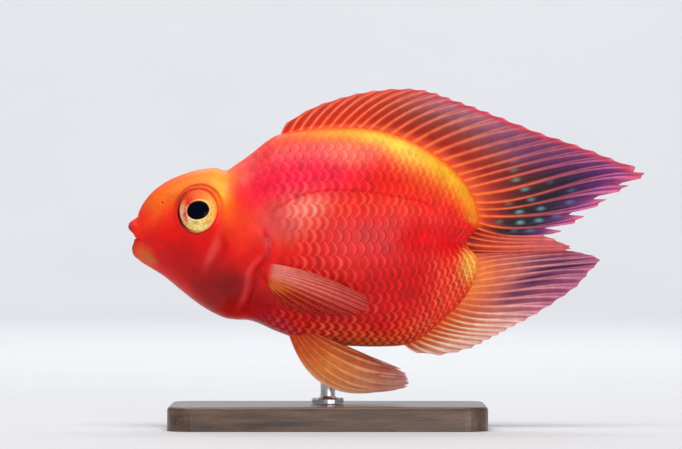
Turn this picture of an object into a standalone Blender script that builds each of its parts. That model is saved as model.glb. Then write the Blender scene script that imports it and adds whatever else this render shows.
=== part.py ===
"""A tailless blood parrot cichlid at life size, held over a flat base by one short rod.

The fish faces -X and shows its left side to -Y. Lengths in this file are millimetres in the fish's own
frame: x runs back from the upper lip, y to its right, z up from the middle of the body. add_node() turns
them into metres in the model's frame, whose origin is the middle of the base's underside.
"""

import math

import bmesh
import bpy
import numpy as np
from mathutils import Matrix, Vector

MM = 0.001
GAP = 0.35

# Stand
BASE_LENGTH = 108.0
BASE_WIDTH = 60.0
BASE_THICKNESS = 8.0
BASE_CORNER_RADIUS = 8.0
BASE_EDGE_BEVEL = 1.2
ROD_RADIUS = 2.5
ROD_FOOT_RADIUS = 5.5
ROD_FOOT_HEIGHT = 1.8
ROD_X = 68.0
FIN_CLEARANCE = 5.0
LOWEST_FIN = -51.6
FISH_LIFT = BASE_THICKNESS + FIN_CLEARANCE - LOWEST_FIN

# Body cross-sections: x, top, bottom, half width, height of the widest level, lean of the upper half
BODY_STATIONS = np.array(
    (
        (2.00, 0.3, -0.3, 0.3, 0.0, 1.00),
        (2.10, 2.4, -2.6, 1.9, 0.0, 1.00),
        (2.40, 4.7, -4.9, 3.3, 0.0, 1.00),
        (3.10, 7.6, -6.9, 4.4, 0.0, 1.00),
        (4.70, 11.2, -8.4, 5.6, 0.3, 1.00),
        (7.70, 15.2, -10.2, 7.2, 0.8, 1.00),
        (12.1, 18.7, -13.0, 9.2, 1.0, 1.00),
        (18.6, 21.7, -18.3, 11.7, 0.0, 1.00),
        (25.1, 23.5, -23.2, 13.5, -1.0, 1.02),
        (30.0, 23.9, -26.0, 14.9, -2.0, 1.08),
        (33.6, 23.1, -27.4, 15.8, -3.0, 1.10),
        (36.0, 24.6, -27.7, 16.3, -3.2, 1.12),
        (41.8, 29.0, -28.4, 17.5, -4.0, 1.16),
        (50.5, 35.2, -32.0, 19.0, -4.0, 1.20),
        (58.5, 37.0, -34.8, 19.8, -4.0, 1.22),
        (68.0, 37.8, -36.4, 20.0, -4.0, 1.22),
        (77.7, 37.8, -37.1, 19.3, -4.0, 1.22),
        (87.3, 36.5, -37.2, 17.4, -3.5, 1.22),
        (94.5, 34.1, -36.6, 15.1, -3.0, 1.20),
        (101.6, 30.6, -33.0, 12.2, -2.0, 1.16),
        (108.5, 26.0, -27.0, 9.4, -1.0, 1.10),
        (114.2, 20.4, -21.4, 6.8, -0.5, 1.05),
        (118.1, 13.9, -14.8, 4.4, 0.0, 1.00),
        (119.6, 8.6, -9.3, 2.9, 0.0, 1.00),
        (120.1, 4.0, -4.6, 1.9, 0.0, 1.00),
        (120.2, 0.4, -0.9, 0.5, 0.0, 1.00),
    )
)
BELLY_FULLNESS = 0.92

# The cleft where the tail would grow, and the crease that runs forward from it
CLEFT_DEPTH = 4.8
CLEFT_Z = -1.6
CLEFT_HALF = 3.6
CLEFT_FROM_X = 104.0
CREASE_DEPTH = 0.16
CREASE_HALF = 4.5
CREASE_FROM_X = 88.0

# Rear edge of the head and gill cover: z, x
GILL_EDGE = np.array(
    (
        (-45.0, 30.0),
        (-30.0, 33.5),
        (-27.0, 36.6),
        (-23.0, 39.8),
        (-18.0, 41.9),
        (-10.0, 43.6),
        (-6.5, 46.3),
        (-2.4, 47.5),
        (2.0, 46.0),
        (6.0, 43.8),
        (11.0, 41.2),
        (18.0, 37.4),
        (24.0, 33.7),
        (45.0, 25.0),
    )
)
GILL_LIFT = 0.75
GILL_LIFT_LENGTH = 8.0
GILL_TOP_Z = 4.0
GILL_BOTTOM_Z = -23.0
CHEEK_GROOVE_AHEAD = 14.5
CHEEK_GROOVE_DEPTH = 0.3
CHEEK_GROOVE_HALF = 1.4
CHEEK_TOP_Z = 1.0
CHEEK_BOTTOM_Z = -16.0
TAIL_CUT_X = 98.0
HEAD_MESH_END_X = 52.0
TRUNK_MESH_START_X = 27.0

# Mouth: lips that swell out of the round snout, and the slit between them
MOUTH_CENTRE_X = 9.0
MOUTH_RADIUS = 7.0
MOUTH_SPREAD = math.radians(50)
MOUTH_CORNER_Z = -1.0
UPPER_LIP_OUT = 2.3
UPPER_LIP_Z = 4.3
UPPER_LIP_HALF = 2.1
LOWER_LIP_OUT = 1.0
LOWER_LIP_Z = -4.5
LOWER_LIP_HALF = 2.5
SLIT_Z = 0.1
SLIT_DEPTH = 1.3
SLIT_HALF = 0.4

NOSTRIL_X = 11.8
NOSTRIL_Z = 12.0
NOSTRIL_RADIUS = 0.6

# Eyes
EYE_X = 24.1
EYE_Z = 9.1
EYE_CENTRE_Y = 11.0
EYE_HALF_LENGTH = 7.0
EYE_HALF_DEPTH = 4.0
EYE_HALF_HEIGHT = 7.6
EYE_TILT = math.radians(15)
EYE_TURN = math.radians(15)
ORBIT_RADIUS = 8.6
ORBIT_LIFT = 0.45
ORBIT_HALF = 1.3

# Fins. A tip table's rows are: place along the fin from 0 to 1, tip x, tip z
ALONG_RAY = np.array((0.0, 0.07, 0.18, 0.38, 0.58, 0.79, 1.0))
DORSAL_START_X = 51.5
DORSAL_END_Z = 3.1
DORSAL_RAYS = 27
# A root table gives places along the fin and the share of its base that they have reached
DORSAL_ROOTS = ((0.0, 0.35, 0.54, 0.69, 0.85, 1.0), (0.0, 0.355, 0.585, 0.757, 0.892, 1.0))
DORSAL_TIPS = np.array(
    (
        (0.000, 54.0, 39.4),
        (0.038, 60.6, 43.4),
        (0.115, 72.5, 47.9),
        (0.192, 83.6, 50.3),
        (0.269, 96.0, 51.0),
        (0.423, 113.4, 46.3),
        (0.538, 127.7, 40.9),
        (0.615, 140.7, 35.8),
        (0.692, 152.6, 31.8),
        (0.769, 164.6, 27.2),
        (0.846, 176.1, 21.3),
        (0.885, 168.8, 16.8),
        (0.923, 161.5, 12.0),
        (0.962, 153.6, 6.0),
        (1.000, 146.0, 1.35),
    )
)
# A bow table gives places along the fin and how far a ray's two inner thirds rise off a straight line,
# as shares of its length
DORSAL_BOWS = np.array(
    (
        (0.00, 0.07, 0.07),
        (0.35, 0.09, 0.09),
        (0.55, 0.05, 0.05),
        (0.65, 0.00, 0.03),
        (0.77, 0.00, 0.06),
        (0.846, -0.085, 0.095),
        (0.885, -0.08, 0.05),
        (0.923, -0.06, -0.05),
        (0.962, -0.13, -0.04),
        (1.00, -0.11, -0.07),
    )
)
# A notch table gives places along the fin and how far the web is drawn in there between two ray tips
DORSAL_NOTCH = ((0.0, 0.05, 0.5, 0.80, 0.85, 1.0), (0.6, 1.0, 0.9, 1.0, 5.0, 6.0))
DORSAL_SWAY = 1.6

ANAL_START_X = 93.6
ANAL_END_Z = -4.9
ANAL_RAYS = 21
ANAL_ROOTS = ((0.0, 1.0), (0.0, 1.0))
ANAL_TIPS = np.array(
    (
        (0.00, 98.6, -39.3),
        (0.05, 106.3, -40.0),
        (0.12, 114.4, -38.4),
        (0.25, 123.3, -34.4),
        (0.40, 131.5, -30.0),
        (0.50, 139.3, -25.8),
        (0.575, 146.5, -21.1),
        (0.65, 153.0, -16.4),
        (0.725, 157.4, -11.4),
        (0.80, 160.8, -7.5),
        (0.90, 154.5, -5.0),
        (1.00, 149.5, -4.1),
    )
)
ANAL_BOWS = np.array(
    (
        (0.00, -0.08, -0.08),
        (0.20, -0.05, -0.03),
        (0.40, -0.12, -0.02),
        (0.60, -0.07, 0.03),
        (0.72, -0.01, 0.045),
        (0.80, 0.03, 0.0),
        (0.90, 0.03, 0.02),
        (1.00, 0.0, 0.0),
    )
)
ANAL_NOTCH = ((0.0, 0.3, 0.9, 1.0), (1.2, 1.0, 0.8, 1.2))
ANAL_SWAY = 1.2

STUB_START_Z = 2.5
STUB_END_Z = -4.2
STUB_RAYS = 6
STUB_ROOTS = ((0.0, 1.0), (0.0, 1.0))
STUB_TIPS = np.array(
    ((0.0, 141.3, 0.35), (0.2, 145.2, -0.7), (0.4, 148.6, -1.9), (0.6, 150.8, -2.7), (0.8, 151.0, -3.3), (1.0, 148.5, -3.6))
)
STUB_BOWS = np.array(((0.0, -0.095, -0.06), (0.5, -0.08, 0.02), (1.0, -0.02, 0.0)))
STUB_NOTCH = ((0.0, 1.0), (1.0, 1.0))

MEDIAN_ROOT_HALF = 1.25
RAY_HALF = 0.46
RAY_TIP_HALF = 0.22
WEB_HALF = 0.27
ROOT_FADE = 0.16

PECTORAL_TOP = (46.9, -8.3)
PECTORAL_BOTTOM = (47.3, -14.6)
PECTORAL_RAYS = 13
PECTORAL_TIPS = np.array(
    (
        (0.00, 76.8, -17.6),
        (0.15, 80.8, -19.4),
        (0.35, 82.0, -21.8),
        (0.50, 81.4, -24.4),
        (0.65, 76.0, -25.8),
        (0.80, 67.5, -26.0),
        (0.92, 59.4, -25.2),
        (1.00, 54.6, -23.4),
    )
)
PECTORAL_BOWS = np.array(((0.0, 0.067, 0.067), (0.5, 0.027, 0.027), (1.0, -0.08, -0.08)))
PECTORAL_NOTCH = ((0.0, 1.0), (1.0, 1.4))
PECTORAL_SPLAY = 0.24
PECTORAL_ROOT_HALF = 1.0

PELVIC_X = (54.6, 62.4)
PELVIC_ANGLES = (math.radians(10), math.radians(26))
PELVIC_RAYS = 7
PELVIC_TIPS = np.array(
    (
        (0.0, 88.7, -51.3),
        (0.2, 92.4, -51.2),
        (0.4, 95.2, -50.0),
        (0.6, 95.3, -47.9),
        (0.8, 93.4, -45.2),
        (1.0, 86.6, -42.4),
    )
)
PELVIC_TIP_Y = (9.5, 15.0)
PELVIC_BOWS = np.array(((0.0, -0.32, -0.32), (0.5, -0.19, -0.19), (1.0, 0.0, 0.0)))
PELVIC_NOTCH = ((0.0, 1.0), (1.2, 4.5))
PELVIC_ROOT_HALF = 0.75

# Colour, roughness, metallic value
FINISHES = {
    "skin_red": ((0.84, 0.13, 0.07, 1.0), 0.35, 0.0),
    "fin_orange": ((0.90, 0.30, 0.18, 1.0), 0.45, 0.0),
    "eye_gold": ((0.86, 0.62, 0.25, 1.0), 0.12, 0.0),
    "stand_wood": ((0.10, 0.055, 0.03, 1.0), 0.40, 0.0),
    "stand_steel": ((0.62, 0.63, 0.65, 1.0), 0.28, 1.0),
}


def smooth_rows(knots, rows, at):
    """Rows read at any places from a smooth curve through the rows at the knots."""
    knots = np.asarray(knots, float)
    rows = np.asarray(rows, float).reshape(len(knots), -1)
    step = np.diff(knots)
    rise = np.diff(rows, axis=0) / step[:, None]
    slope = np.empty_like(rows)
    slope[0], slope[-1] = rise[0], rise[-1]
    before, after = step[:-1, None], step[1:, None]
    slope[1:-1] = (rise[1:] * before + rise[:-1] * after) / (before + after)
    at = np.clip(np.asarray(at, float), knots[0], knots[-1])
    i = np.clip(np.searchsorted(knots, at, side="right") - 1, 0, len(knots) - 2)
    h = step[i][..., None]
    u = ((at - knots[i]) / step[i])[..., None]
    return (
        rows[i] * (1 + 2 * u) * (1 - u) ** 2
        + slope[i] * h * u * (1 - u) ** 2
        + rows[i + 1] * u**2 * (3 - 2 * u)
        - slope[i + 1] * h * u**2 * (1 - u)
    )


def smooth_value(table, at):
    """One value read from a two-column table."""
    return smooth_rows(table[:, 0], table[:, 1:2], at)[..., 0]


def smooth_step(low, high, value):
    t = np.clip((value - low) / (high - low), 0.0, 1.0)
    return t * t * (3 - 2 * t)


BODY_PLACES = np.concatenate(
    ([0.0], np.cumsum(np.linalg.norm(np.diff(BODY_STATIONS[:, :3], axis=0), axis=1)))
)


def place_at_x(x):
    """Where along the body's run of sections the section at x lies."""
    places = np.linspace(0.0, BODY_PLACES[-1], 2000)
    return np.interp(x, smooth_rows(BODY_PLACES, BODY_STATIONS, places)[:, 0], places)


def cut_cleft(points):
    """Draws the rear end in at the cleft, and the flanks in along its crease."""
    x, y, z = points[..., 0], points[..., 1], points[..., 2]
    near = np.exp(-(((z - CLEFT_Z) / CLEFT_HALF) ** 2))
    pull = CLEFT_DEPTH * near * smooth_step(CLEFT_FROM_X, BODY_STATIONS[-1, 0] - 1.0, x)
    crease = np.exp(-(((z - CLEFT_Z) / CREASE_HALF) ** 2))
    narrow = 1 - CREASE_DEPTH * crease * smooth_step(CREASE_FROM_X, BODY_STATIONS[-1, 0], x)
    return np.stack((x - pull, y * narrow, z), axis=-1)


def body_points(places, angles):
    """Points on the body. An angle of 0 is the back, pi the belly, and pi / 2 the fish's right."""
    x, top, bottom, half, wide, lean = np.moveaxis(
        smooth_rows(BODY_PLACES, BODY_STATIONS, places), -1, 0
    )
    c, s = np.cos(angles), np.sin(angles)
    reach = np.where(c >= 0, top - wide, wide - bottom)
    power = np.where(c >= 0, lean, BELLY_FULLNESS)
    y = half * np.sign(s) * np.abs(s) ** power
    x = np.broadcast_to(x, y.shape)
    return cut_cleft(np.stack((x, y, wide + reach * c), axis=-1))


def half_width_at(x, z):
    """The body's half width at a point of its side view."""
    _, top, bottom, half, wide, lean = np.moveaxis(
        smooth_rows(BODY_PLACES, BODY_STATIONS, place_at_x(x)), -1, 0
    )
    above = z >= wide
    c = np.clip((z - wide) / np.where(above, top - wide, wide - bottom), -0.999, 0.999)
    return half * np.sqrt(1 - c * c) ** np.where(above, lean, BELLY_FULLNESS)


def outline(count=1500):
    """The body's edge in the middle plane: from the nape over the back and round the rear to the belly."""
    places = np.linspace(place_at_x(36.0), BODY_PLACES[-1], count)
    top = body_points(places, np.zeros(count))
    bottom = body_points(places, np.full(count, math.pi))
    return np.concatenate((top, bottom[::-1]))[:, (0, 2)]


OUTLINE = outline()
OUTLINE_RUN = np.concatenate(
    ([0.0], np.cumsum(np.linalg.norm(np.diff(OUTLINE, axis=0), axis=1)))
)
REAR_INDEX = len(OUTLINE) // 2


def run_on_back(x):
    return np.interp(x, OUTLINE[: REAR_INDEX - 300, 0], OUTLINE_RUN[: REAR_INDEX - 300])


def run_on_belly(x):
    return np.interp(
        x, OUTLINE[: REAR_INDEX + 300 : -1, 0], OUTLINE_RUN[: REAR_INDEX + 300 : -1]
    )


def run_on_rear(z):
    """The rear end is where the outline's height falls steadily from the back to the belly."""
    low, high = REAR_INDEX - 300, REAR_INDEX + 300
    return np.interp(-z, -OUTLINE[low:high, 1], OUTLINE_RUN[low:high])


def outline_points(run, off):
    """Points at these runs along the outline, set off outwards by a distance."""
    here = np.stack([np.interp(run, OUTLINE_RUN, OUTLINE[:, i]) for i in (0, 1)], axis=-1)
    ahead = np.stack([np.interp(run + 0.5, OUTLINE_RUN, OUTLINE[:, i]) for i in (0, 1)], axis=-1)
    behind = np.stack([np.interp(run - 0.5, OUTLINE_RUN, OUTLINE[:, i]) for i in (0, 1)], axis=-1)
    along = ahead - behind
    along /= np.linalg.norm(along, axis=-1, keepdims=True)
    return here + off * np.stack((-along[:, 1], along[:, 0]), axis=-1)


def lip_relief(points):
    """Swells the two lips out of the snout. They run together and fade at the mouth's corners."""
    x, y, z = points[..., 0], points[..., 1], points[..., 2]
    turn = np.arctan2(np.abs(y), MOUTH_CENTRE_X - x)
    share = np.clip(turn / MOUTH_SPREAD, 0.0, 1.0)
    out = 0.0
    for front_z, half, lift in (
        (UPPER_LIP_Z, UPPER_LIP_HALF, UPPER_LIP_OUT),
        (LOWER_LIP_Z, LOWER_LIP_HALF, LOWER_LIP_OUT),
    ):
        level = front_z + (MOUTH_CORNER_Z - front_z) * 0.6 * share**2
        out = out + lift * np.exp(-np.abs((z - level) / half) ** 3)
    out = out * (1 - smooth_step(0.25, 1.0, share))
    return np.stack((x - out * np.cos(turn), y + np.sign(y) * out * np.sin(turn), z), axis=-1)


def head_relief(points):
    """Lifts the gill cover's edge and the eye's rim off the head, and draws in the cheek's groove."""
    x, y, z = points[..., 0], points[..., 1], points[..., 2]
    ahead = smooth_value(GILL_EDGE, z) - x
    window = smooth_step(GILL_BOTTOM_Z - 3, GILL_BOTTOM_Z + 3, z) * (
        1 - smooth_step(GILL_TOP_Z - 3, GILL_TOP_Z + 3, z)
    )
    lift = GILL_LIFT * np.exp(-((np.maximum(ahead, 0) / GILL_LIFT_LENGTH) ** 2)) * window
    groove_window = smooth_step(CHEEK_BOTTOM_Z - 3, CHEEK_BOTTOM_Z + 2, z) * (
        1 - smooth_step(CHEEK_TOP_Z - 2, CHEEK_TOP_Z + 3, z)
    )
    groove = np.exp(-(((ahead - CHEEK_GROOVE_AHEAD) / CHEEK_GROOVE_HALF) ** 2))
    from_eye = np.hypot(x - EYE_X, z - EYE_Z)
    orbit = ORBIT_LIFT * np.exp(-(((from_eye - ORBIT_RADIUS) / ORBIT_HALF) ** 2))
    out = lift + orbit - CHEEK_GROOVE_DEPTH * groove * groove_window
    moved = np.stack((x, y + np.sign(y) * np.minimum(out, np.abs(y)), z), axis=-1)
    return lip_relief(moved)


def mesh_object(name, points, faces):
    """A mesh object with its faces turned outwards, still in the fish's millimetres."""
    mesh = bpy.data.meshes.new(name)
    mesh.from_pydata([tuple(p) for p in np.asarray(points).reshape(-1, 3)], [], faces)
    bm = bmesh.new()
    bm.from_mesh(mesh)
    bmesh.ops.recalc_face_normals(bm, faces=bm.faces)
    if bm.calc_volume(signed=True) < 0:
        bmesh.ops.reverse_faces(bm, faces=bm.faces)
    bm.to_mesh(mesh)
    bm.free()
    item = bpy.data.objects.new(name, mesh)
    bpy.context.scene.collection.objects.link(item)
    return item


def lofted(name, rings):
    """A closed mesh through rings of points, with a fan of triangles over each end."""
    count, around = rings.shape[:2]
    faces = []
    for i in range(count - 1):
        for j in range(around):
            k = (j + 1) % around
            faces.append((i * around + j, i * around + k, (i + 1) * around + k, (i + 1) * around + j))
    points = np.concatenate((rings.reshape(-1, 3), [rings[0].mean(0), rings[-1].mean(0)]))
    first, last = count * around, count * around + 1
    for j in range(around):
        k = (j + 1) % around
        faces.append((k, j, first))
        faces.append(((count - 1) * around + j, (count - 1) * around + k, last))
    return mesh_object(name, points, faces)


def ribbed_sheet(name, middle, across, half):
    """A thin closed fin about a grid of middle points, split into like triangles on both faces."""
    columns, rows = middle.shape[:2]
    left = middle - across * half[..., None]
    right = middle + across * half[..., None]
    points = np.concatenate((left.reshape(-1, 3), right.reshape(-1, 3)))
    other = columns * rows
    faces = []
    for c in range(columns - 1):
        for r in range(rows - 1):
            a, b = c * rows + r, (c + 1) * rows + r
            for triangle in ((a, b, b + 1), (a, b + 1, a + 1)):
                faces.append(triangle)
                faces.append(tuple(other + v for v in reversed(triangle)))
    rim = [c * rows for c in range(columns)]
    rim += [(columns - 1) * rows + r for r in range(1, rows)]
    rim += [c * rows + rows - 1 for c in range(columns - 2, -1, -1)]
    rim += [r for r in range(rows - 2, 0, -1)]
    for i, a in enumerate(rim):
        b = rim[(i + 1) % len(rim)]
        faces.append((a, other + a, other + b))
        faces.append((a, other + b, b))
    return mesh_object(name, points, faces)


def largest_shell(item):
    """Keeps only the largest closed surface of a mesh."""
    bm = bmesh.new()
    bm.from_mesh(item.data)
    left, shells = set(bm.verts), []
    while left:
        shell, front = set(), [left.pop()]
        while front:
            vert = front.pop()
            shell.add(vert)
            for edge in vert.link_edges:
                near = edge.other_vert(vert)
                if near in left:
                    left.remove(near)
                    front.append(near)
        shells.append(shell)
    shells.sort(key=len)
    for shell in shells[:-1]:
        bmesh.ops.delete(bm, geom=list(shell), context="VERTS")
    bm.to_mesh(item.data)
    bm.free()


def combine(item, others, operation):
    """Applies one Boolean with a collection of closed meshes, then removes them."""
    group = bpy.data.collections.new("pieces")
    bpy.context.scene.collection.children.link(group)
    for other in others:
        bpy.context.scene.collection.objects.unlink(other)
        group.objects.link(other)
    modifier = item.modifiers.new(operation.lower(), "BOOLEAN")
    modifier.operand_type = "COLLECTION"
    modifier.collection = group
    modifier.operation = operation
    modifier.solver = "EXACT"
    graph = bpy.context.evaluated_depsgraph_get()
    made = bpy.data.meshes.new_from_object(item.evaluated_get(graph))
    item.modifiers.clear()
    item.data = made
    for other in others:
        bpy.data.objects.remove(other)
    bpy.data.collections.remove(group)
    largest_shell(item)


def side_prism(name, side_view):
    """A block whose side view is this outline and which runs right through the fish."""
    width = 40.0
    count = len(side_view)
    points = [(x, y, z) for y in (-width, width) for x, z in side_view]
    faces = [tuple(range(count)), tuple(reversed(range(count, 2 * count)))]
    for i in range(count):
        j = (i + 1) % count
        faces.append((i, count + i, count + j, j))
    return mesh_object(name, points, faces)


def gill_edge_points(shift):
    heights = np.linspace(GILL_EDGE[0, 0], GILL_EDGE[-1, 0], 49)
    return [(x + shift, z) for x, z in zip(smooth_value(GILL_EDGE, heights), heights)]


def mouth_slit(around=8, count=17):
    """A flat rod bent round the snout, thinner and lower towards the mouth's corners."""
    turn = np.linspace(-MOUTH_SPREAD, MOUTH_SPREAD, count)[:, None]
    share = (turn / MOUTH_SPREAD) ** 2
    angle = np.linspace(0, 2 * math.pi, around, endpoint=False)[None, :]
    radius = MOUTH_RADIUS + SLIT_DEPTH * np.cos(angle)
    z = SLIT_Z + (MOUTH_CORNER_Z - SLIT_Z) * share + SLIT_HALF * (1 - 0.4 * share) * np.sin(angle)
    x = MOUTH_CENTRE_X - radius * np.cos(turn)
    return lofted("slit", np.stack((x, radius * np.sin(turn), z), axis=-1))


def ball(name, centre, radii, tilt=0.0, turn=0.0, segments=22, rings=12):
    """A closed ellipsoid, tilted about the X axis and then turned about the Z axis."""
    bm = bmesh.new()
    bmesh.ops.create_uvsphere(bm, u_segments=segments, v_segments=rings, radius=1.0)
    pole = Matrix.Rotation(math.radians(90), 4, "X")
    lean = Matrix.Rotation(turn, 4, "Z") @ Matrix.Rotation(tilt, 4, "X")
    place = Matrix.Translation(centre) @ lean @ Matrix.Diagonal((*radii, 1.0))
    bmesh.ops.transform(bm, matrix=place @ pole, verts=bm.verts)
    mesh = bpy.data.meshes.new(name)
    bm.to_mesh(mesh)
    bm.free()
    item = bpy.data.objects.new(name, mesh)
    bpy.context.scene.collection.objects.link(item)
    return item


def eyeball(name, side, grow):
    radii = (EYE_HALF_LENGTH + grow, EYE_HALF_DEPTH + grow, EYE_HALF_HEIGHT + grow)
    centre = (EYE_X, side * EYE_CENTRE_Y, EYE_Z)
    return ball(name, centre, radii, tilt=side * EYE_TILT, turn=side * EYE_TURN)


def paint(item, finish):
    colour, roughness, metallic = FINISHES[finish]
    material = bpy.data.materials.get(finish)
    if material is None:
        material = bpy.data.materials.new(finish)
        material.use_nodes = True
        shader = material.node_tree.nodes["Principled BSDF"]
        shader.inputs["Base Color"].default_value = colour
        shader.inputs["Roughness"].default_value = roughness
        shader.inputs["Metallic"].default_value = metallic
    item.data.materials.clear()
    item.data.materials.append(material)


def add_node(item, finish, lift=FISH_LIFT):
    """Finishes a node: its material, smooth shading, and its place in metres in the model's frame."""
    paint(item, finish)
    item.data.transform(Matrix.Scale(MM, 4) @ Matrix.Translation((-ROD_X, 0.0, lift)))
    item.data.shade_smooth()
    item.data.set_sharp_from_angle(angle=math.radians(40))
    return item


def make_head():
    snout_end = place_at_x(8.0)
    head_end = place_at_x(HEAD_MESH_END_X)
    places = np.concatenate(
        (np.linspace(0.0, snout_end, 14, endpoint=False), np.linspace(snout_end, head_end, 32))
    )[:, None]
    angles = np.linspace(0, 2 * math.pi, 44, endpoint=False)[None, :]
    head = lofted("head", head_relief(body_points(places, angles)))
    front = [(-20.0, GILL_EDGE[-1, 0]), (-20.0, GILL_EDGE[0, 0])]
    combine(head, [side_prism("front_part", gill_edge_points(0.0) + front)], "INTERSECT")
    cutters = [mouth_slit()]
    for side in (-1, 1):
        cutters.append(eyeball("socket", side, GAP))
        nostril_y = side * half_width_at(NOSTRIL_X, NOSTRIL_Z)
        radii = (NOSTRIL_RADIUS, NOSTRIL_RADIUS * 1.3, NOSTRIL_RADIUS)
        cutters.append(ball("nostril", (NOSTRIL_X, nostril_y, NOSTRIL_Z), radii, segments=10, rings=6))
    combine(head, cutters, "DIFFERENCE")
    add_node(head, "skin_red")


def make_trunk():
    """The torso, and behind it the tail part that ends in the cleft."""
    start = place_at_x(TRUNK_MESH_START_X)
    middle = place_at_x(TAIL_CUT_X)
    places = np.concatenate(
        (np.linspace(start, middle, 17, endpoint=False), np.linspace(middle, BODY_PLACES[-1], 22))
    )[:, None]
    angles = np.linspace(0, 2 * math.pi, 40, endpoint=False)[None, :]
    rings = body_points(places, angles)
    reach = GILL_EDGE[-1, 0]
    behind_gills = gill_edge_points(GAP * 1.3) + [(TAIL_CUT_X, reach), (TAIL_CUT_X, -reach)]
    tail_front = TAIL_CUT_X + GAP
    tail_block = [(tail_front, -reach), (tail_front, reach), (140.0, reach), (140.0, -reach)]
    for name, block in (("torso", behind_gills), ("tail", tail_block)):
        item = lofted(name, rings)
        combine(item, [side_prism(name + "_part", block)], "INTERSECT")
        add_node(item, "skin_red")


def ray_curves(roots, tips, bows):
    """Points along bowed rays in the side view. A positive bow lifts a ray's inner points."""
    along = tips - roots
    upward = np.stack((-along[:, 1], along[:, 0]), axis=-1)
    first = roots + along / 3 + bows[:, :1] * upward
    second = roots + along * 2 / 3 + bows[:, 1:] * upward
    t = ALONG_RAY[None, :, None]
    inner = first[:, None] * (1 - t) + second[:, None] * t
    return roots[:, None] * (1 - t) ** 3 + inner * 3 * t * (1 - t) + tips[:, None] * t**3


def fin_columns(rays, web_notch, roots_at, tips_table, bows_table):
    """Roots, tips and bows of a fin's rays, with a drawn-in web between each two of them."""
    share = np.linspace(0.0, 1.0, 2 * rays - 1)
    web = np.arange(len(share)) % 2 == 1
    roots = roots_at(share)
    tips = smooth_rows(tips_table[:, 0], tips_table[:, 1:], share)
    tips[web] = (tips[:-1:2] + tips[2::2]) / 2
    notch = np.where(web, np.interp(share, *web_notch), 0.0)
    inward = roots - tips
    tips = tips + notch[:, None] * inward / np.linalg.norm(inward, axis=-1, keepdims=True)
    bows = smooth_rows(bows_table[:, 0], bows_table[:, 1:], share)
    return share, web, roots, ray_curves(roots, tips, bows)


def rib_thickness(web, root_half):
    """Half thicknesses: stout at the root, then a ridge along each ray and a thin web between."""
    fade = smooth_step(0.0, ROOT_FADE, ALONG_RAY)[None, :]
    ray = RAY_HALF + (RAY_TIP_HALF - RAY_HALF) * ALONG_RAY[None, :]
    thin = np.where(web[:, None], WEB_HALF, ray)
    thin = np.where(ALONG_RAY[None, :] >= 1.0, RAY_TIP_HALF, thin)
    stout = np.where(web, root_half * 0.86, root_half)[:, None]
    return stout + (thin - stout) * fade


def make_median_fin(name, rays, run_from, run_to, roots, tips, bows, web_notch, sway):
    """An upright fin on the middle plane, whose root follows the body's outline."""

    def roots_at(share):
        return outline_points(run_from + (run_to - run_from) * np.interp(share, *roots), GAP)

    share, web, _, side = fin_columns(rays, web_notch, roots_at, tips, bows)
    wave = np.sin(2 * math.pi * (1.25 * share + 0.1))[:, None] * ALONG_RAY[None, :] ** 1.6
    middle = np.stack((side[..., 0], sway * wave, side[..., 1]), axis=-1)
    across = np.broadcast_to(np.array((0.0, 1.0, 0.0)), middle.shape)
    half = rib_thickness(web, MEDIAN_ROOT_HALF)
    add_node(ribbed_sheet(name, middle, across, half), "fin_orange")


def make_median_fins():
    make_median_fin(
        "dorsal_fin", DORSAL_RAYS, run_on_back(DORSAL_START_X), run_on_rear(DORSAL_END_Z),
        DORSAL_ROOTS, DORSAL_TIPS, DORSAL_BOWS, DORSAL_NOTCH, DORSAL_SWAY,
    )
    make_median_fin(
        "anal_fin", ANAL_RAYS, run_on_belly(ANAL_START_X), run_on_rear(ANAL_END_Z),
        ANAL_ROOTS, ANAL_TIPS, ANAL_BOWS, ANAL_NOTCH, ANAL_SWAY,
    )
    make_median_fin(
        "tail_fin_stub", STUB_RAYS, run_on_rear(STUB_START_Z), run_on_rear(STUB_END_Z),
        STUB_ROOTS, STUB_TIPS, STUB_BOWS, STUB_NOTCH, 0.0,
    )


def make_pectoral_fin(name, side):
    """A fan whose thick root lies along the flank and whose blade leaves it at a slant."""

    def roots_at(share):
        top, bottom = np.array(PECTORAL_TOP), np.array(PECTORAL_BOTTOM)
        return top + (bottom - top) * share[:, None]

    _, web, roots, blade = fin_columns(
        PECTORAL_RAYS, PECTORAL_NOTCH, roots_at, PECTORAL_TIPS, PECTORAL_BOWS
    )
    half = rib_thickness(web, PECTORAL_ROOT_HALF)
    length = np.linalg.norm(blade - roots[:, None], axis=-1)
    away = PECTORAL_SPLAY * np.maximum(length - 3.0, 0.0)
    flank = half_width_at(blade[..., 0], blade[..., 1])
    y = side * (flank + GAP * 1.3 + half + away)
    middle = np.stack((blade[..., 0], y, blade[..., 1]), axis=-1)
    across = np.broadcast_to(np.array((0.0, 1.0, 0.0)), middle.shape)
    add_node(ribbed_sheet(name, middle, across, half), "fin_orange")


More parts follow.
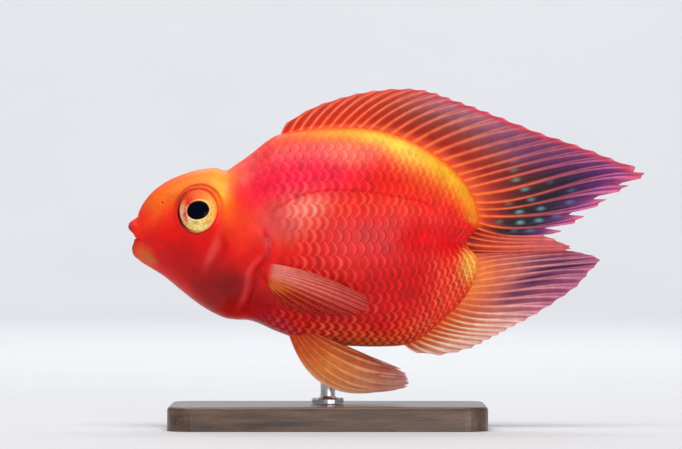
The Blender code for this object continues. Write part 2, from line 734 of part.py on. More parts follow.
def make_pelvic_fin(name, side):
    """A fan hung under the belly beside its middle line, swept back and outwards."""
    share = np.linspace(0.0, 1.0, 2 * PELVIC_RAYS - 1)
    angle = math.pi - (PELVIC_ANGLES[0] + (PELVIC_ANGLES[1] - PELVIC_ANGLES[0]) * share)
    places = place_at_x(PELVIC_X[0] + (PELVIC_X[1] - PELVIC_X[0]) * share)
    root = body_points(places, angle)
    tangent = body_points(places, angle - 0.02) - body_points(places, angle + 0.02)
    tangent[:, 0] = 0.0
    tangent /= np.linalg.norm(tangent, axis=-1, keepdims=True)
    out = np.stack((np.zeros_like(share), tangent[:, 2], -tangent[:, 1]), axis=-1)
    root = root + out * GAP * 1.2

    def roots_at(_):
        return root[:, (0, 2)]

    _, web, _, blade = fin_columns(PELVIC_RAYS, PELVIC_NOTCH, roots_at, PELVIC_TIPS, PELVIC_BOWS)
    tip_y = PELVIC_TIP_Y[0] + (PELVIC_TIP_Y[1] - PELVIC_TIP_Y[0]) * share
    t = ALONG_RAY[None, :]
    y = root[:, 1:2] + (tip_y[:, None] - root[:, 1:2]) * t**0.9
    middle = np.stack((blade[..., 0], side * y, blade[..., 1]), axis=-1)
    flat = np.array((0.0, 1.0, 0.0))
    across = tangent[:, None] + (flat - tangent[:, None]) * t[..., None] ** 0.7
    across /= np.linalg.norm(across, axis=-1, keepdims=True)
    across = across * np.array((1.0, side, 1.0))
    half = rib_thickness(web, PELVIC_ROOT_HALF)
    add_node(ribbed_sheet(name, middle, across, half), "fin_orange")


def make_base():
    bm = bmesh.new()
    bmesh.ops.create_cube(bm, size=1.0)
    bmesh.ops.scale(bm, vec=(BASE_LENGTH, BASE_WIDTH, BASE_THICKNESS), verts=bm.verts)
    bmesh.ops.translate(bm, vec=(ROD_X, 0.0, BASE_THICKNESS / 2), verts=bm.verts)
    upright = [e for e in bm.edges if abs((e.verts[0].co - e.verts[1].co).z) > 1.0]
    bmesh.ops.bevel(
        bm, geom=upright, offset=BASE_CORNER_RADIUS, segments=6, profile=0.5, affect="EDGES"
    )
    rim = [e for e in bm.edges if all(v.co.z > BASE_THICKNESS - 0.01 for v in e.verts)]
    bmesh.ops.bevel(bm, geom=rim, offset=BASE_EDGE_BEVEL, segments=3, profile=0.5, affect="EDGES")
    mesh = bpy.data.meshes.new("stand_base")
    bm.to_mesh(mesh)
    bm.free()
    item = bpy.data.objects.new("stand_base", mesh)
    bpy.context.scene.collection.objects.link(item)
    add_node(item, "stand_wood", lift=0.0)


def make_rod():
    """A turned rod with a flat foot, from the base's top up to the belly."""
    belly = body_points(np.array([place_at_x(ROD_X)]), np.array([math.pi]))[0, 2]
    foot = BASE_THICKNESS + GAP
    top = belly + FISH_LIFT - GAP
    profile = (
        (foot, ROD_FOOT_RADIUS),
        (foot + ROD_FOOT_HEIGHT - 0.5, ROD_FOOT_RADIUS),
        (foot + ROD_FOOT_HEIGHT, ROD_FOOT_RADIUS - 0.5),
        (foot + ROD_FOOT_HEIGHT, ROD_RADIUS + 0.6),
        (foot + ROD_FOOT_HEIGHT + 0.6, ROD_RADIUS),
        (top, ROD_RADIUS),
    )
    angle = np.linspace(0, 2 * math.pi, 28, endpoint=False)
    rings = [
        np.stack(
            (ROD_X + radius * np.cos(angle), radius * np.sin(angle), np.full_like(angle, height)), axis=-1
        )
        for height, radius in profile
    ]
    add_node(lofted("stand_rod", np.array(rings)), "stand_steel", lift=0.0)


def main():
    for item in list(bpy.data.objects):
        bpy.data.objects.remove(item)
    make_head()
    make_trunk()
    for name, side in (("left", -1), ("right", 1)):
        add_node(eyeball("eye_" + name, side, 0.0), "eye_gold")
        make_pectoral_fin("pectoral_fin_" + name, side)
        make_pelvic_fin("pelvic_fin_" + name, side)
    make_median_fins()
    make_base()
    make_rod()


main()
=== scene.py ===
"""Looks of the tailless blood parrot cichlid: one skin under scale plates, glossy eyes, rayed fins, a stand.

Lengths are millimetres in the fish's own frame, as in the CAD source: x runs back from the upper lip, y to
the fish's right, z up from the middle of its body. to_row() turns them into metres in the model's frame.
"""

import math

import bmesh
import bpy
import numpy as np
from mathutils import Matrix, Vector


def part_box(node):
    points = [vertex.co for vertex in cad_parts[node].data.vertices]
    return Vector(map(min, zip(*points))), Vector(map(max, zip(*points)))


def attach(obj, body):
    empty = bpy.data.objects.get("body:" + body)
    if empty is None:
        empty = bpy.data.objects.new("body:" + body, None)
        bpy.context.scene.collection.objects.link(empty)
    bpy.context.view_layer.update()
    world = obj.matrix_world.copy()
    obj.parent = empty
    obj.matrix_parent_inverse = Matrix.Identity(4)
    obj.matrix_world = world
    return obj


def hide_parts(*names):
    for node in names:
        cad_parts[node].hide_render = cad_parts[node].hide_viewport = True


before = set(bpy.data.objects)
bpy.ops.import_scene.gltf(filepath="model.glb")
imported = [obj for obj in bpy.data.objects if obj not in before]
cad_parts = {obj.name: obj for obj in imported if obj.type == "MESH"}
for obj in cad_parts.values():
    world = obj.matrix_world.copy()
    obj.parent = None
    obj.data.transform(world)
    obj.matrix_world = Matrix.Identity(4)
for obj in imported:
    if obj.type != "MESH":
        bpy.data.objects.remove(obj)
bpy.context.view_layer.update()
RNG = np.random.default_rng(7)

MM = 0.001
ROD_X = 68.0
BASE_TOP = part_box("stand_base")[1].z / MM
LOWEST_FIN = -51.6
FIN_CLEARANCE = 5.0
FISH_LIFT = BASE_TOP + FIN_CLEARANCE - LOWEST_FIN

# Body cross-sections: x, top, bottom, half width, height of the widest level, lean of the upper half
BODY_STATIONS = np.array((
    (2.00, 0.3, -0.3, 0.3, 0.0, 1.00), (2.10, 2.4, -2.6, 1.9, 0.0, 1.00),
    (2.40, 4.7, -4.9, 3.3, 0.0, 1.00), (3.10, 7.6, -6.9, 4.4, 0.0, 1.00),
    (4.70, 11.2, -8.4, 5.6, 0.3, 1.00), (7.70, 15.2, -10.2, 7.2, 0.8, 1.00),
    (12.1, 18.7, -13.0, 9.2, 1.0, 1.00), (18.6, 21.7, -18.3, 11.7, 0.0, 1.00),
    (25.1, 23.5, -23.2, 13.5, -1.0, 1.02), (30.0, 23.9, -26.0, 14.9, -2.0, 1.08),
    (33.6, 23.1, -27.4, 15.8, -3.0, 1.10), (36.0, 24.6, -27.7, 16.3, -3.2, 1.12),
    (41.8, 29.0, -28.4, 17.5, -4.0, 1.16), (50.5, 35.2, -32.0, 19.0, -4.0, 1.20),
    (58.5, 37.0, -34.8, 19.8, -4.0, 1.22), (68.0, 37.8, -36.4, 20.0, -4.0, 1.22),
    (77.7, 37.8, -37.1, 19.3, -4.0, 1.22), (87.3, 36.5, -37.2, 17.4, -3.5, 1.22),
    (94.5, 34.1, -36.6, 15.1, -3.0, 1.20), (101.6, 30.6, -33.0, 12.2, -2.0, 1.16),
    (108.5, 26.0, -27.0, 9.4, -1.0, 1.10), (114.2, 20.4, -21.4, 6.8, -0.5, 1.05),
    (118.1, 13.9, -14.8, 4.4, 0.0, 1.00), (119.6, 8.6, -9.3, 2.9, 0.0, 1.00),
    (120.1, 4.0, -4.6, 1.9, 0.0, 1.00), (120.2, 0.4, -0.9, 0.5, 0.0, 1.00),
))
BODY_END = BODY_STATIONS[-1, 0]
BELLY_FULLNESS = 0.92
CLEFT_DEPTH, CLEFT_Z, CLEFT_HALF, CLEFT_FROM_X = 4.8, -1.6, 3.6, 104.0
CREASE_DEPTH, CREASE_HALF, CREASE_FROM_X = 0.16, 4.5, 88.0

# Rear edge of the head and gill cover: z, x
GILL_EDGE = np.array((
    (-45.0, 30.0), (-30.0, 33.5), (-27.0, 36.6), (-23.0, 39.8), (-18.0, 41.9), (-10.0, 43.6), (-6.5, 46.3),
    (-2.4, 47.5), (2.0, 46.0), (6.0, 43.8), (11.0, 41.2), (18.0, 37.4), (24.0, 33.7), (45.0, 25.0),
))
GILL_LIFT, GILL_LIFT_LENGTH = 0.75, 8.0
CHEEK_GROOVE_AHEAD = 14.5
# The heights over which the gill cover's edge and the cheek's folds fade in from below, and out above
GILL_FADES = (-26.0, -20.0), (0.0, 6.0)
CHEEK_FADES = (-20.0, -13.0), (-2.0, 4.0)

MOUTH_CENTRE_X, MOUTH_SPREAD = 9.0, math.radians(50)
MOUTH_CORNER_Z, MOUTH_LINE_Z = -1.0, 0.1
UPPER_LIP_OUT, UPPER_LIP_Z, UPPER_LIP_HALF = 2.3, 4.3, 2.1
LOWER_LIP_OUT, LOWER_LIP_Z, LOWER_LIP_HALF = 1.0, -4.5, 2.5
NOSTRIL_X, NOSTRIL_Z, NOSTRIL_RADIUS = 11.8, 12.0, 0.6

EYE_X, EYE_Z, EYE_CENTRE_Y = 24.1, 9.1, 11.0
EYE_HALF_LENGTH, EYE_HALF_DEPTH, EYE_HALF_HEIGHT = 7.0, 4.0, 7.6
EYE_TILT, EYE_TURN = math.radians(15), math.radians(15)
# Skin points this near the socket's edge, as a share of the eye's size, are moved on to it
SOCKET_EDGE, SOCKET_DEPTH = 0.036, 4.2

# Where the scales begin, behind the gill cover and the nape: z, x
SCALE_FRONT = np.array((
    (-45.0, 32.0), (-30.0, 35.5), (-27.0, 38.8), (-23.0, 42.2), (-18.0, 44.6), (-10.0, 46.6), (-5.0, 49.0),
    (-1.0, 49.6), (5.0, 46.8), (11.0, 43.0), (18.0, 39.5), (24.0, 38.0), (45.0, 40.0),
))
# How far the skin of the trunk lies inside the body's outline, to leave room for the scales
SCALE_ROOM = 0.22


def smooth_rows(knots, rows, at):
    """Rows read at any places from a smooth curve through the rows at the knots."""
    knots = np.asarray(knots, float)
    rows = np.asarray(rows, float).reshape(len(knots), -1)
    step = np.diff(knots)
    rise = np.diff(rows, axis=0) / step[:, None]
    slope = np.empty_like(rows)
    slope[0], slope[-1] = rise[0], rise[-1]
    before, after = step[:-1, None], step[1:, None]
    slope[1:-1] = (rise[1:] * before + rise[:-1] * after) / (before + after)
    at = np.clip(np.asarray(at, float), knots[0], knots[-1])
    i = np.clip(np.searchsorted(knots, at, side="right") - 1, 0, len(knots) - 2)
    h = step[i][..., None]
    u = ((at - knots[i]) / step[i])[..., None]
    return (
        rows[i] * (1 + 2 * u) * (1 - u) ** 2
        + slope[i] * h * u * (1 - u) ** 2
        + rows[i + 1] * u**2 * (3 - 2 * u)
        - slope[i + 1] * h * u**2 * (1 - u)
    )


def smooth_value(table, at):
    """One value read from a two-column table."""
    table = np.asarray(table, float)
    return smooth_rows(table[:, 0], table[:, 1:2], at)[..., 0]


def smooth_step(low, high, value):
    t = np.clip((value - low) / (high - low), 0.0, 1.0)
    return t * t * (3 - 2 * t)


def between(value, rise, fall):
    """1 between two soft edges, each given as where it begins and where it ends."""
    return smooth_step(*rise, value) * (1 - smooth_step(*fall, value))


def blend(start, end, share):
    return start + (end - start) * share


def unit(vectors):
    return vectors / np.maximum(np.linalg.norm(vectors, axis=-1, keepdims=True), 1e-9)


def bump(value, centre, half):
    """1 at the centre, falling smoothly to nothing on both sides."""
    return np.exp(-(((value - centre) / half) ** 2))


def run_along(points):
    """The distance run along a line of points, from 0 at its first."""
    return np.concatenate(([0.0], np.cumsum(np.linalg.norm(np.diff(points, axis=0), axis=-1))))


BODY_PLACES = run_along(BODY_STATIONS[:, :3])
PLACE_END = BODY_PLACES[-1]


def place_at_x(x):
    """Where along the body's run of sections the section at x lies."""
    places = np.linspace(0.0, PLACE_END, 2000)
    return np.interp(x, smooth_rows(BODY_PLACES, BODY_STATIONS, places)[:, 0], places)


def cut_cleft(points):
    """Draws the rear end in at the cleft, and the flanks in along its crease."""
    x, y, z = np.moveaxis(points, -1, 0)
    pull = CLEFT_DEPTH * bump(z, CLEFT_Z, CLEFT_HALF) * smooth_step(CLEFT_FROM_X, BODY_END - 1.0, x)
    crease = bump(z, CLEFT_Z, CREASE_HALF)
    narrow = 1 - CREASE_DEPTH * crease * smooth_step(CREASE_FROM_X, BODY_END, x)
    return np.stack((x - pull, y * narrow, z), axis=-1)


def body_section(places):
    """The body's cross-sections at these places: x, top, bottom, half width, widest level and lean."""
    return np.moveaxis(smooth_rows(BODY_PLACES, BODY_STATIONS, places), -1, 0)


def body_points(places, angles):
    """Points on the body. An angle of 0 is the back, pi the belly, and pi / 2 the fish's right."""
    places, angles = np.broadcast_arrays(places, angles)
    x, top, bottom, half, wide, lean = body_section(places)
    c, s = np.cos(angles), np.sin(angles)
    reach = np.where(c >= 0, top - wide, wide - bottom)
    power = np.where(c >= 0, lean, BELLY_FULLNESS)
    y = half * np.sign(s) * np.abs(s) ** power
    return cut_cleft(np.stack((x, y, wide + reach * c), axis=-1))


def half_width_at(x, z):
    """The body's half width at a point of its side view."""
    _, top, bottom, half, wide, lean = body_section(place_at_x(x))
    above = z >= wide
    c = np.clip((z - wide) / np.where(above, top - wide, wide - bottom), -0.999, 0.999)
    return half * np.sqrt(1 - c * c) ** np.where(above, lean, BELLY_FULLNESS)


def outline(count=1500):
    """The body's edge in the middle plane: from the nape over the back and round the rear to the belly."""
    places = np.linspace(place_at_x(36.0), PLACE_END, count)
    top = body_points(places, np.zeros(count))
    bottom = body_points(places, np.full(count, math.pi))
    return np.concatenate((top, bottom[::-1]))[:, (0, 2)]


OUTLINE = outline()
OUTLINE_RUN = run_along(OUTLINE)
# The rear end takes up this many of the outline's points on each side of its middle one
REAR_POINTS = 300
REAR_FROM, REAR_TO = len(OUTLINE) // 2 - REAR_POINTS, len(OUTLINE) // 2 + REAR_POINTS


def run_on_back(x):
    return np.interp(x, OUTLINE[:REAR_FROM, 0], OUTLINE_RUN[:REAR_FROM])


def run_on_belly(x):
    return np.interp(x, OUTLINE[:REAR_TO:-1, 0], OUTLINE_RUN[:REAR_TO:-1])


def run_on_rear(z):
    """The rear end is where the outline's height falls steadily from the back to the belly."""
    return np.interp(-z, -OUTLINE[REAR_FROM:REAR_TO, 1], OUTLINE_RUN[REAR_FROM:REAR_TO])


def outline_points(run, off):
    """Points at these runs along the outline, set off outwards by a distance."""
    here, ahead, behind = (
        np.stack([np.interp(run + step, OUTLINE_RUN, OUTLINE[:, i]) for i in (0, 1)], axis=-1)
        for step in (0.0, 0.5, -0.5)
    )
    along = unit(ahead - behind)
    return here + off * np.stack((-along[:, 1], along[:, 0]), axis=-1)


def from_outline(x, z):
    """Each point's distance from the body's edge, and its run along that edge."""
    picks = np.linspace(0, len(OUTLINE) - 1, 260).astype(int)
    edge, run = OUTLINE[picks], OUTLINE_RUN[picks]
    flat_x, flat_z = np.ravel(x), np.ravel(z)
    far, at = np.empty(len(flat_x)), np.empty(len(flat_x))
    for start in range(0, len(flat_x), 20000):
        part = slice(start, start + 20000)
        gap = np.hypot(flat_x[part, None] - edge[None, :, 0], flat_z[part, None] - edge[None, :, 1])
        near = gap.argmin(axis=1)
        far[part] = gap[np.arange(len(near)), near]
        at[part] = run[near]
    return far.reshape(np.shape(x)), at.reshape(np.shape(x))


# Meshes

def to_row(points):
    """Fish millimetres to metres in the model's frame."""
    return (np.asarray(points, float) + (-ROD_X, 0.0, FISH_LIFT)) * MM


def grid_quads(rows, columns, wrap=False):
    """Faces over a grid of points. With wrap, the last column meets the first."""
    i = np.arange(rows - 1)[:, None] * columns
    j = np.arange(columns if wrap else columns - 1)[None, :]
    k = (j + 1) % columns
    return np.stack((i + j, i + k, i + columns + k, i + columns + j), axis=-1).reshape(-1, 4)


def sheet_faces(rows, columns):
    """Faces of a closed sheet: a grid of points, the same grid on its far side, and the rim between."""
    index = np.arange(rows * columns).reshape(rows, columns)
    rim = np.concatenate((index[0], index[1:, -1], index[-1, -2::-1], index[-2:0:-1, 0]))
    after = np.roll(rim, -1)
    edge = np.stack((rim, rim + index.size, after + index.size, after), axis=-1)
    face = grid_quads(rows, columns)
    return np.concatenate((face, face[:, ::-1] + index.size, edge))


def add_object(name, data):
    item = bpy.data.objects.new(name, data)
    bpy.context.scene.collection.objects.link(item)
    return item


def make_piece(name, points, faces, material, colours=None, values=None, uv=None, in_row=False):
    """A smooth mesh piece. faces is a list of arrays of quads or triangles.

    uv is given for each point, or else for each corner of each face.
    """
    mesh = bpy.data.meshes.new(name)
    points = np.asarray(points, float).reshape(-1, 3)
    if not in_row:
        points = to_row(points)
    corners = np.concatenate([np.ravel(f) for f in faces]).astype(np.int32)
    sizes = np.concatenate([np.full(len(f), f.shape[1]) for f in faces]).astype(np.int32)
    mesh.vertices.add(len(points))
    mesh.vertices.foreach_set("co", points.astype(np.float32).ravel())
    mesh.loops.add(len(corners))
    mesh.loops.foreach_set("vertex_index", corners)
    mesh.polygons.add(len(sizes))
    mesh.polygons.foreach_set("loop_start", np.concatenate(([0], np.cumsum(sizes)[:-1])).astype(np.int32))
    mesh.update(calc_edges=True)
    if colours is not None:
        layer = mesh.attributes.new("paint", "FLOAT_COLOR", "POINT")
        rgba = np.concatenate((colours.reshape(-1, 3), np.ones((len(points), 1))), axis=1)
        layer.data.foreach_set("color", rgba.astype(np.float32).ravel())
    for key, value in (values or {}).items():
        layer = mesh.attributes.new(key, "FLOAT", "POINT")
        layer.data.foreach_set("value", np.ravel(value).astype(np.float32))
    if uv is not None:
        uv = uv.reshape(-1, 2)
        uv = uv if len(uv) == len(corners) else uv[corners]
        mesh.uv_layers.new(name="OFBake").data.foreach_set("uv", uv.astype(np.float32).ravel())
    mesh.validate()
    mesh.shade_smooth()
    mesh.materials.append(material)
    return add_object(name, mesh)


# Colours, given as they show on a screen and blended there

def linear(colour):
    colour = np.clip(np.asarray(colour, float) / 255.0, 0.0, 1.0)
    return np.where(colour <= 0.04045, colour / 12.92, ((colour + 0.055) / 1.055) ** 2.4)


# Light that the wet surface adds over its paint, taken off the paint beforehand
GLOSS_LIGHT = np.array((0.004, 0.020, 0.018))


def wet_paint(colour):
    colour = linear(colour)
    return np.maximum(colour - GLOSS_LIGHT, 0.3 * colour)


def mix(base, colour, amount):
    return base + (np.asarray(colour, float) - base) * np.asarray(amount)[..., None]


def lay(colour, *layers):
    """Lays colours over one another, each given with its strength."""
    for shade, amount in layers:
        colour = mix(colour, shade, amount)
    return colour


def toward(way, degrees, half):
    """1 in one direction, falling smoothly to nothing on both sides of it. The half breadth is in degrees."""
    return bump(np.angle(np.exp(1j * (way - math.radians(degrees)))), 0.0, math.radians(half))


def oval(x, z, place, size, turn):
    """How far out points lie in an oval tilted by a turn in radians: 0 in its middle, 1 at its edge."""
    c, s = math.cos(turn), math.sin(turn)
    u, v = x - place[0], z - place[1]
    return np.hypot((u * c + v * s) / size[0], (v * c - u * s) / size[1])


def patch(x, z, place, size, degrees=0.0, power=1.3):
    """A soft oval patch, 1 in its middle. A higher power makes its edge crisper."""
    return np.exp(-(oval(x, z, place, size, math.radians(degrees)) ** (2 * power)))


RED = (234, 46, 36)

# Markings, with a few patches of painted light and shade among them, in the order they are laid on: colour,
# middle (x, z), half size, tilt, strength
MARKINGS_AND_PAINTED_LIGHT = (
    ((238, 42, 30), (64.0, 6.0), (48.0, 16.0), 0, 0.6),
    ((250, 84, 78), (60.0, 30.0), (30.0, 9.0), 0, 0.6),
    ((244, 44, 70), (60.0, 21.0), (22.0, 9.5), 4, 0.95),
    ((246, 44, 70), (45.0, 15.0), (13.0, 8.0), 20, 0.75),
    # A painted highlight: the pale pink patch on the nape.
    ((252, 96, 96), (38.0, 25.0), (9.0, 7.0), 40, 0.7),
    ((252, 120, 82), (75.0, 28.0), (9.0, 4.0), -8, 0.6),
    ((246, 118, 100), (56.0, 7.0), (15.0, 8.5), 18, 0.85),
    ((252, 140, 116), (61.5, 10.5), (8.0, 3.4), 12, 0.7),
    ((216, 72, 74), (50.5, 4.5), (7.0, 6.5), 0, 0.6),
    ((244, 78, 56), (77.0, 9.0), (12.0, 7.0), -4, 0.5),
    ((216, 4, 14), (90.0, 1.0), (18.0, 8.0), -4, 0.85),
    ((212, 4, 14), (85.8, 0.6), (6.5, 4.0), 0, 0.6),
    ((248, 76, 50), (93.0, 10.5), (10.0, 5.5), -14, 0.6),
    ((248, 8, 26), (107.0, -0.4), (11.0, 3.6), -10, 0.9),
    ((244, 44, 40), (108.0, 9.0), (9.0, 6.5), -40, 0.7),
    ((250, 92, 56), (100.0, 21.0), (16.0, 6.0), -38, 0.55),
    ((196, 4, 10), (92.0, -15.5), (15.0, 8.0), 6, 0.85),
    ((212, 34, 26), (88.0, -26.0), (14.0, 8.0), 12, 0.65),
    ((250, 84, 50), (110.0, -16.0), (8.0, 10.0), -20, 0.7),
    ((246, 96, 56), (98.0, -32.0), (12.0, 5.0), 20, 0.6),
    ((226, 22, 28), (47.0, -9.0), (5.5, 7.0), 0, 0.75),
    ((166, 22, 30), (46.0, -22.0), (10.0, 5.5), -14, 0.7),
    ((186, 34, 32), (70.0, -24.0), (16.0, 8.0), -8, 0.75),
    ((216, 78, 50), (74.0, -33.0), (16.0, 4.6), -4, 0.8),
    ((224, 112, 52), (80.0, -36.5), (13.0, 2.8), 0, 0.8),
    ((206, 62, 74), (50.0, -28.5), (11.0, 3.4), -24, 0.7),
    ((238, 62, 44), (10.0, 4.0), (9.0, 9.0), 0, 0.5),
    ((250, 104, 52), (9.5, 10.5), (8.0, 4.5), 50, 0.7),
    ((238, 50, 40), (5.4, 7.4), (3.2, 2.6), 50, 0.6),
    ((248, 132, 44), (20.0, 18.5), (15.0, 5.6), 24, 0.9),
    ((246, 150, 52), (30.0, 21.0), (7.5, 4.5), -6, 0.8),
    ((255, 182, 44), (31.8, 15.4), (3.8, 6.2), 18, 0.95),
    ((250, 120, 44), (34.5, 9.0), (3.4, 6.0), 0, 0.6),
    ((240, 84, 46), (38.5, 6.0), (5.0, 8.0), 0, 0.6),
    ((206, 8, 12), (20.0, -5.0), (12.0, 5.6), -10, 0.9),
    ((184, 8, 12), (21.0, -10.5), (9.5, 4.6), -20, 0.75),
    ((238, 92, 86), (28.5, -6.0), (2.0, 8.5), -22, 0.8),
    ((232, 60, 50), (40.0, -1.0), (5.0, 6.5), 0, 0.55),
    # The two maroon patches low on the gill cover are partly its own colour and partly painted shade under
    # the head.
    ((146, 14, 20), (34.5, -16.5), (9.0, 7.5), -10, 0.95),
    ((150, 12, 16), (27.0, -19.0), (9.0, 4.6), -38, 0.75),
    ((222, 66, 66), (18.0, -16.8), (9.0, 2.2), -38, 0.55),
    ((228, 106, 62), (5.4, -5.6), (4.6, 3.2), -30, 0.85),
    ((200, 122, 60), (7.8, -7.6), (2.6, 1.7), -30, 0.6),
)

# The bright band below the dorsal fin's base: share of the way along it, colour, strength, depth, half width
BAND_SHARES = (0.0, 0.18, 0.42, 0.55, 0.68, 0.82, 1.0)
BAND_COLOURS = np.array((
    (250, 96, 60), (255, 150, 66), (255, 206, 76), (255, 214, 84), (255, 190, 60), (255, 178, 56),
    (255, 158, 58),
))
BAND_STRENGTH = (0.4, 0.9, 1.0, 1.0, 0.95, 0.95, 0.65)
BAND_DEPTH = (1.4, 1.6, 2.2, 3.2, 3.0, 2.2, 1.2)
BAND_HALF = (2.0, 2.2, 2.8, 3.6, 3.5, 3.2, 2.2)
BAND_FROM, BAND_TO = run_on_back(46.0), run_on_rear(1.5)

# The lateral line: x, z
LATERAL_LINE = np.array((
    (46.0, 6.5), (52.0, 11.0), (58.5, 14.3), (65.7, 16.0), (77.6, 16.2), (92.0, 14.0), (101.5, 11.6),
    (110.4, 3.6),
))
LATERAL_HALF = 0.55


def flesh_colour(x, z):
    """The fish's colour at points of its side view, with a painted highlight on the nape and painted shade
    low on the gill cover, the same on both sides.
    """
    colour = np.full(np.shape(x) + (3,), RED, float)
    for shade, place, size, turn, strength in MARKINGS_AND_PAINTED_LIGHT:
        colour = mix(colour, shade, strength * patch(x, z, place, size, turn))
    far, run = from_outline(x, z)
    share = (run - BAND_FROM) / (BAND_TO - BAND_FROM)
    on_back = between(share, (-0.04, 0.06), (0.94, 1.0))
    depth, half, strength = (np.interp(share, BAND_SHARES, v) for v in (BAND_DEPTH, BAND_HALF, BAND_STRENGTH))
    shade = np.stack([np.interp(share, BAND_SHARES, BAND_COLOURS[:, i]) for i in range(3)], axis=-1)
    soft = ((far - depth) / np.where(far > depth, half * 1.5, half)) ** 2
    line = between(x, (47, 52), (106, 111)) * bump(z, smooth_value(LATERAL_LINE, x), LATERAL_HALF)
    return lay(
        colour,
        (shade, strength * on_back * np.exp(-soft)),
        ((240, 96, 40), 0.5 * on_back * bump(far, 0.0, 0.9)),
        ((255, 190, 76), 0.95 * patch(x, z, (116.5, -9.0), (3.8, 6.8))),
        ((206, 20, 34), 0.42 * line),
    )


# Materials

class Paint:
    """A material, with short ways to add the nodes used here. Inputs are plain values or sockets to link."""

    def __init__(self, name):
        self.material = bpy.data.materials.new(name)
        self.material.use_nodes = True
        self.tree = self.material.node_tree
        self.coords = self.node("ShaderNodeTexCoord").outputs["Object"]

    def fill(self, node, inputs):
        for key, given in inputs.items():
            if isinstance(given, bpy.types.NodeSocket):
                self.tree.links.new(given, node.inputs[key])
            else:
                node.inputs[key].default_value = given

    def node(self, kind, inputs=None, **settings):
        node = self.tree.nodes.new(kind)
        for key, value in settings.items():
            setattr(node, key, value)
        self.fill(node, inputs or {})
        return node

    def noise(self, scale, detail=3.0, roughness=0.55, coords=None):
        coords = self.coords if coords is None else coords
        inputs = {"Scale": scale, "Detail": detail, "Roughness": roughness, "Vector": coords}
        return self.node("ShaderNodeTexNoise", inputs).outputs["Fac"]

    def stretched(self, scale):
        return self.node("ShaderNodeMapping", {"Scale": scale, "Vector": self.coords}).outputs["Vector"]

    def ranged(self, value, to_low, to_high, low=0.3, high=0.7):
        inputs = {"Value": value, "From Min": low, "From Max": high, "To Min": to_low, "To Max": to_high}
        return self.node("ShaderNodeMapRange", inputs).outputs["Result"]

    def times(self, first, second, factor=1.0):
        """One colour multiplied by another, as far as the factor says."""
        inputs = {0: factor, 6: first, 7: second}
        return self.node("ShaderNodeMix", inputs, data_type="RGBA", blend_type="MULTIPLY").outputs[2]

    def bump(self, height, distance, strength, below=None):
        inputs = {"Height": height, "Distance": distance, "Strength": strength}
        if below is not None:
            inputs["Normal"] = below
        return self.node("ShaderNodeBump", inputs).outputs["Normal"]

    def attribute(self, name, output="Fac"):
        return self.node("ShaderNodeAttribute", attribute_name=name).outputs[output]

    def mottled(self, scale, low, high):
        """The painted colours, mottled between two strengths."""
        return self.times(self.attribute("paint", "Color"), self.ranged(self.noise(scale, 4.0), low, high))

    def ridges(self, value, rate):
        turns = self.node("ShaderNodeMath", {0: value, 1: rate}, operation="MULTIPLY").outputs[0]
        return self.node("ShaderNodeMath", {0: turns}, operation="SINE").outputs[0]

    def surface(self, inputs):
        self.fill(self.tree.nodes["Principled BSDF"], inputs)
        return self.material

    def flesh(self, weight, scale, inputs):
        """A surface that lets some light in, more of the red than of the rest."""
        own = {
            "Specular IOR Level": 0.16, "Subsurface Weight": weight, "Subsurface Radius": (1.0, 0.30, 0.18),
            "Subsurface Scale": scale,
        }
        return self.surface(own | inputs)


def skin_material():
    """Wet, fine-grained skin: the painted markings, mottled, with pores and small folds in its bump."""
    paint = Paint("fish_skin")
    grain = paint.ranged(paint.noise(1500.0), 0.93, 1.06)
    pores = paint.node("ShaderNodeTexVoronoi", {"Scale": 1500.0, "Vector": paint.coords}).outputs["Distance"]
    folds = paint.bump(paint.noise(420.0, 4.0), 0.00022, 0.55)
    return paint.flesh(0.10, 0.0025, {
        "Base Color": paint.times(paint.mottled(190.0, 0.84, 1.12), grain),
        "Roughness": paint.ranged(paint.noise(700.0), 0.30, 0.46),
        "Normal": paint.bump(pores, 0.00008, 0.5, folds),
        "Coat Weight": 0.09,
        "Coat Roughness": 0.16,
    })


def scale_material():
    """A scale: painted as the skin below it, with growth rings, and a glossier free edge."""
    paint = Paint("fish_scales")
    along = paint.attribute("along")
    return paint.flesh(0.08, 0.002, {
        "Base Color": paint.mottled(230.0, 0.86, 1.10),
        "Roughness": paint.ranged(along, 0.42, 0.27, 0.2, 1.0),
        "Normal": paint.bump(paint.ridges(along, GROWTH_RINGS * 2 * math.pi), 0.00001, 0.25),
        "Coat Weight": 0.08,
        "Coat Roughness": 0.18,
    })


def fin_material():
    """A fin: painted rays and web, finely stranded, the web letting some of what is behind it through."""
    paint = Paint("fish_fin")
    strands = paint.ridges(paint.attribute("strand"), STRANDS_PER_RAY * 2 * math.pi)
    wrinkle = paint.bump(paint.noise(900.0), 0.00008, 0.5)
    return paint.flesh(0.08, 0.0015, {
        "Base Color": paint.mottled(420.0, 0.84, 1.12),
        "Alpha": paint.attribute("cover"),
        "Roughness": 0.42,
        "Normal": paint.bump(strands, 0.00004, 0.6, wrinkle),
        "Coat Weight": 0.08,
        "Coat Roughness": 0.2,
    })


def eye_material():
    """The painted, flecked iris and the smooth pupil under a clear, wet surface."""
    paint = Paint("fish_eye")
    iris = paint.attribute("iris")
    fleck = paint.ranged(paint.noise(1100.0, 5.0, 0.7), 0.82, 1.16, 0.36, 0.64)
    fibres = paint.noise(2200.0, 4.0)
    return paint.surface({
        "Base Color": paint.times(paint.attribute("paint", "Color"), fleck, iris),
        "Roughness": paint.ranged(iris, 0.06, 0.3, 0.0, 1.0),
        "Normal": paint.bump(fibres, 0.00006, paint.ranged(iris, 0.0, 0.4, 0.0, 1.0)),
        "Specular IOR Level": 0.04,
        "Coat Weight": 0.03,
        "Coat Roughness": 0.05,
    })


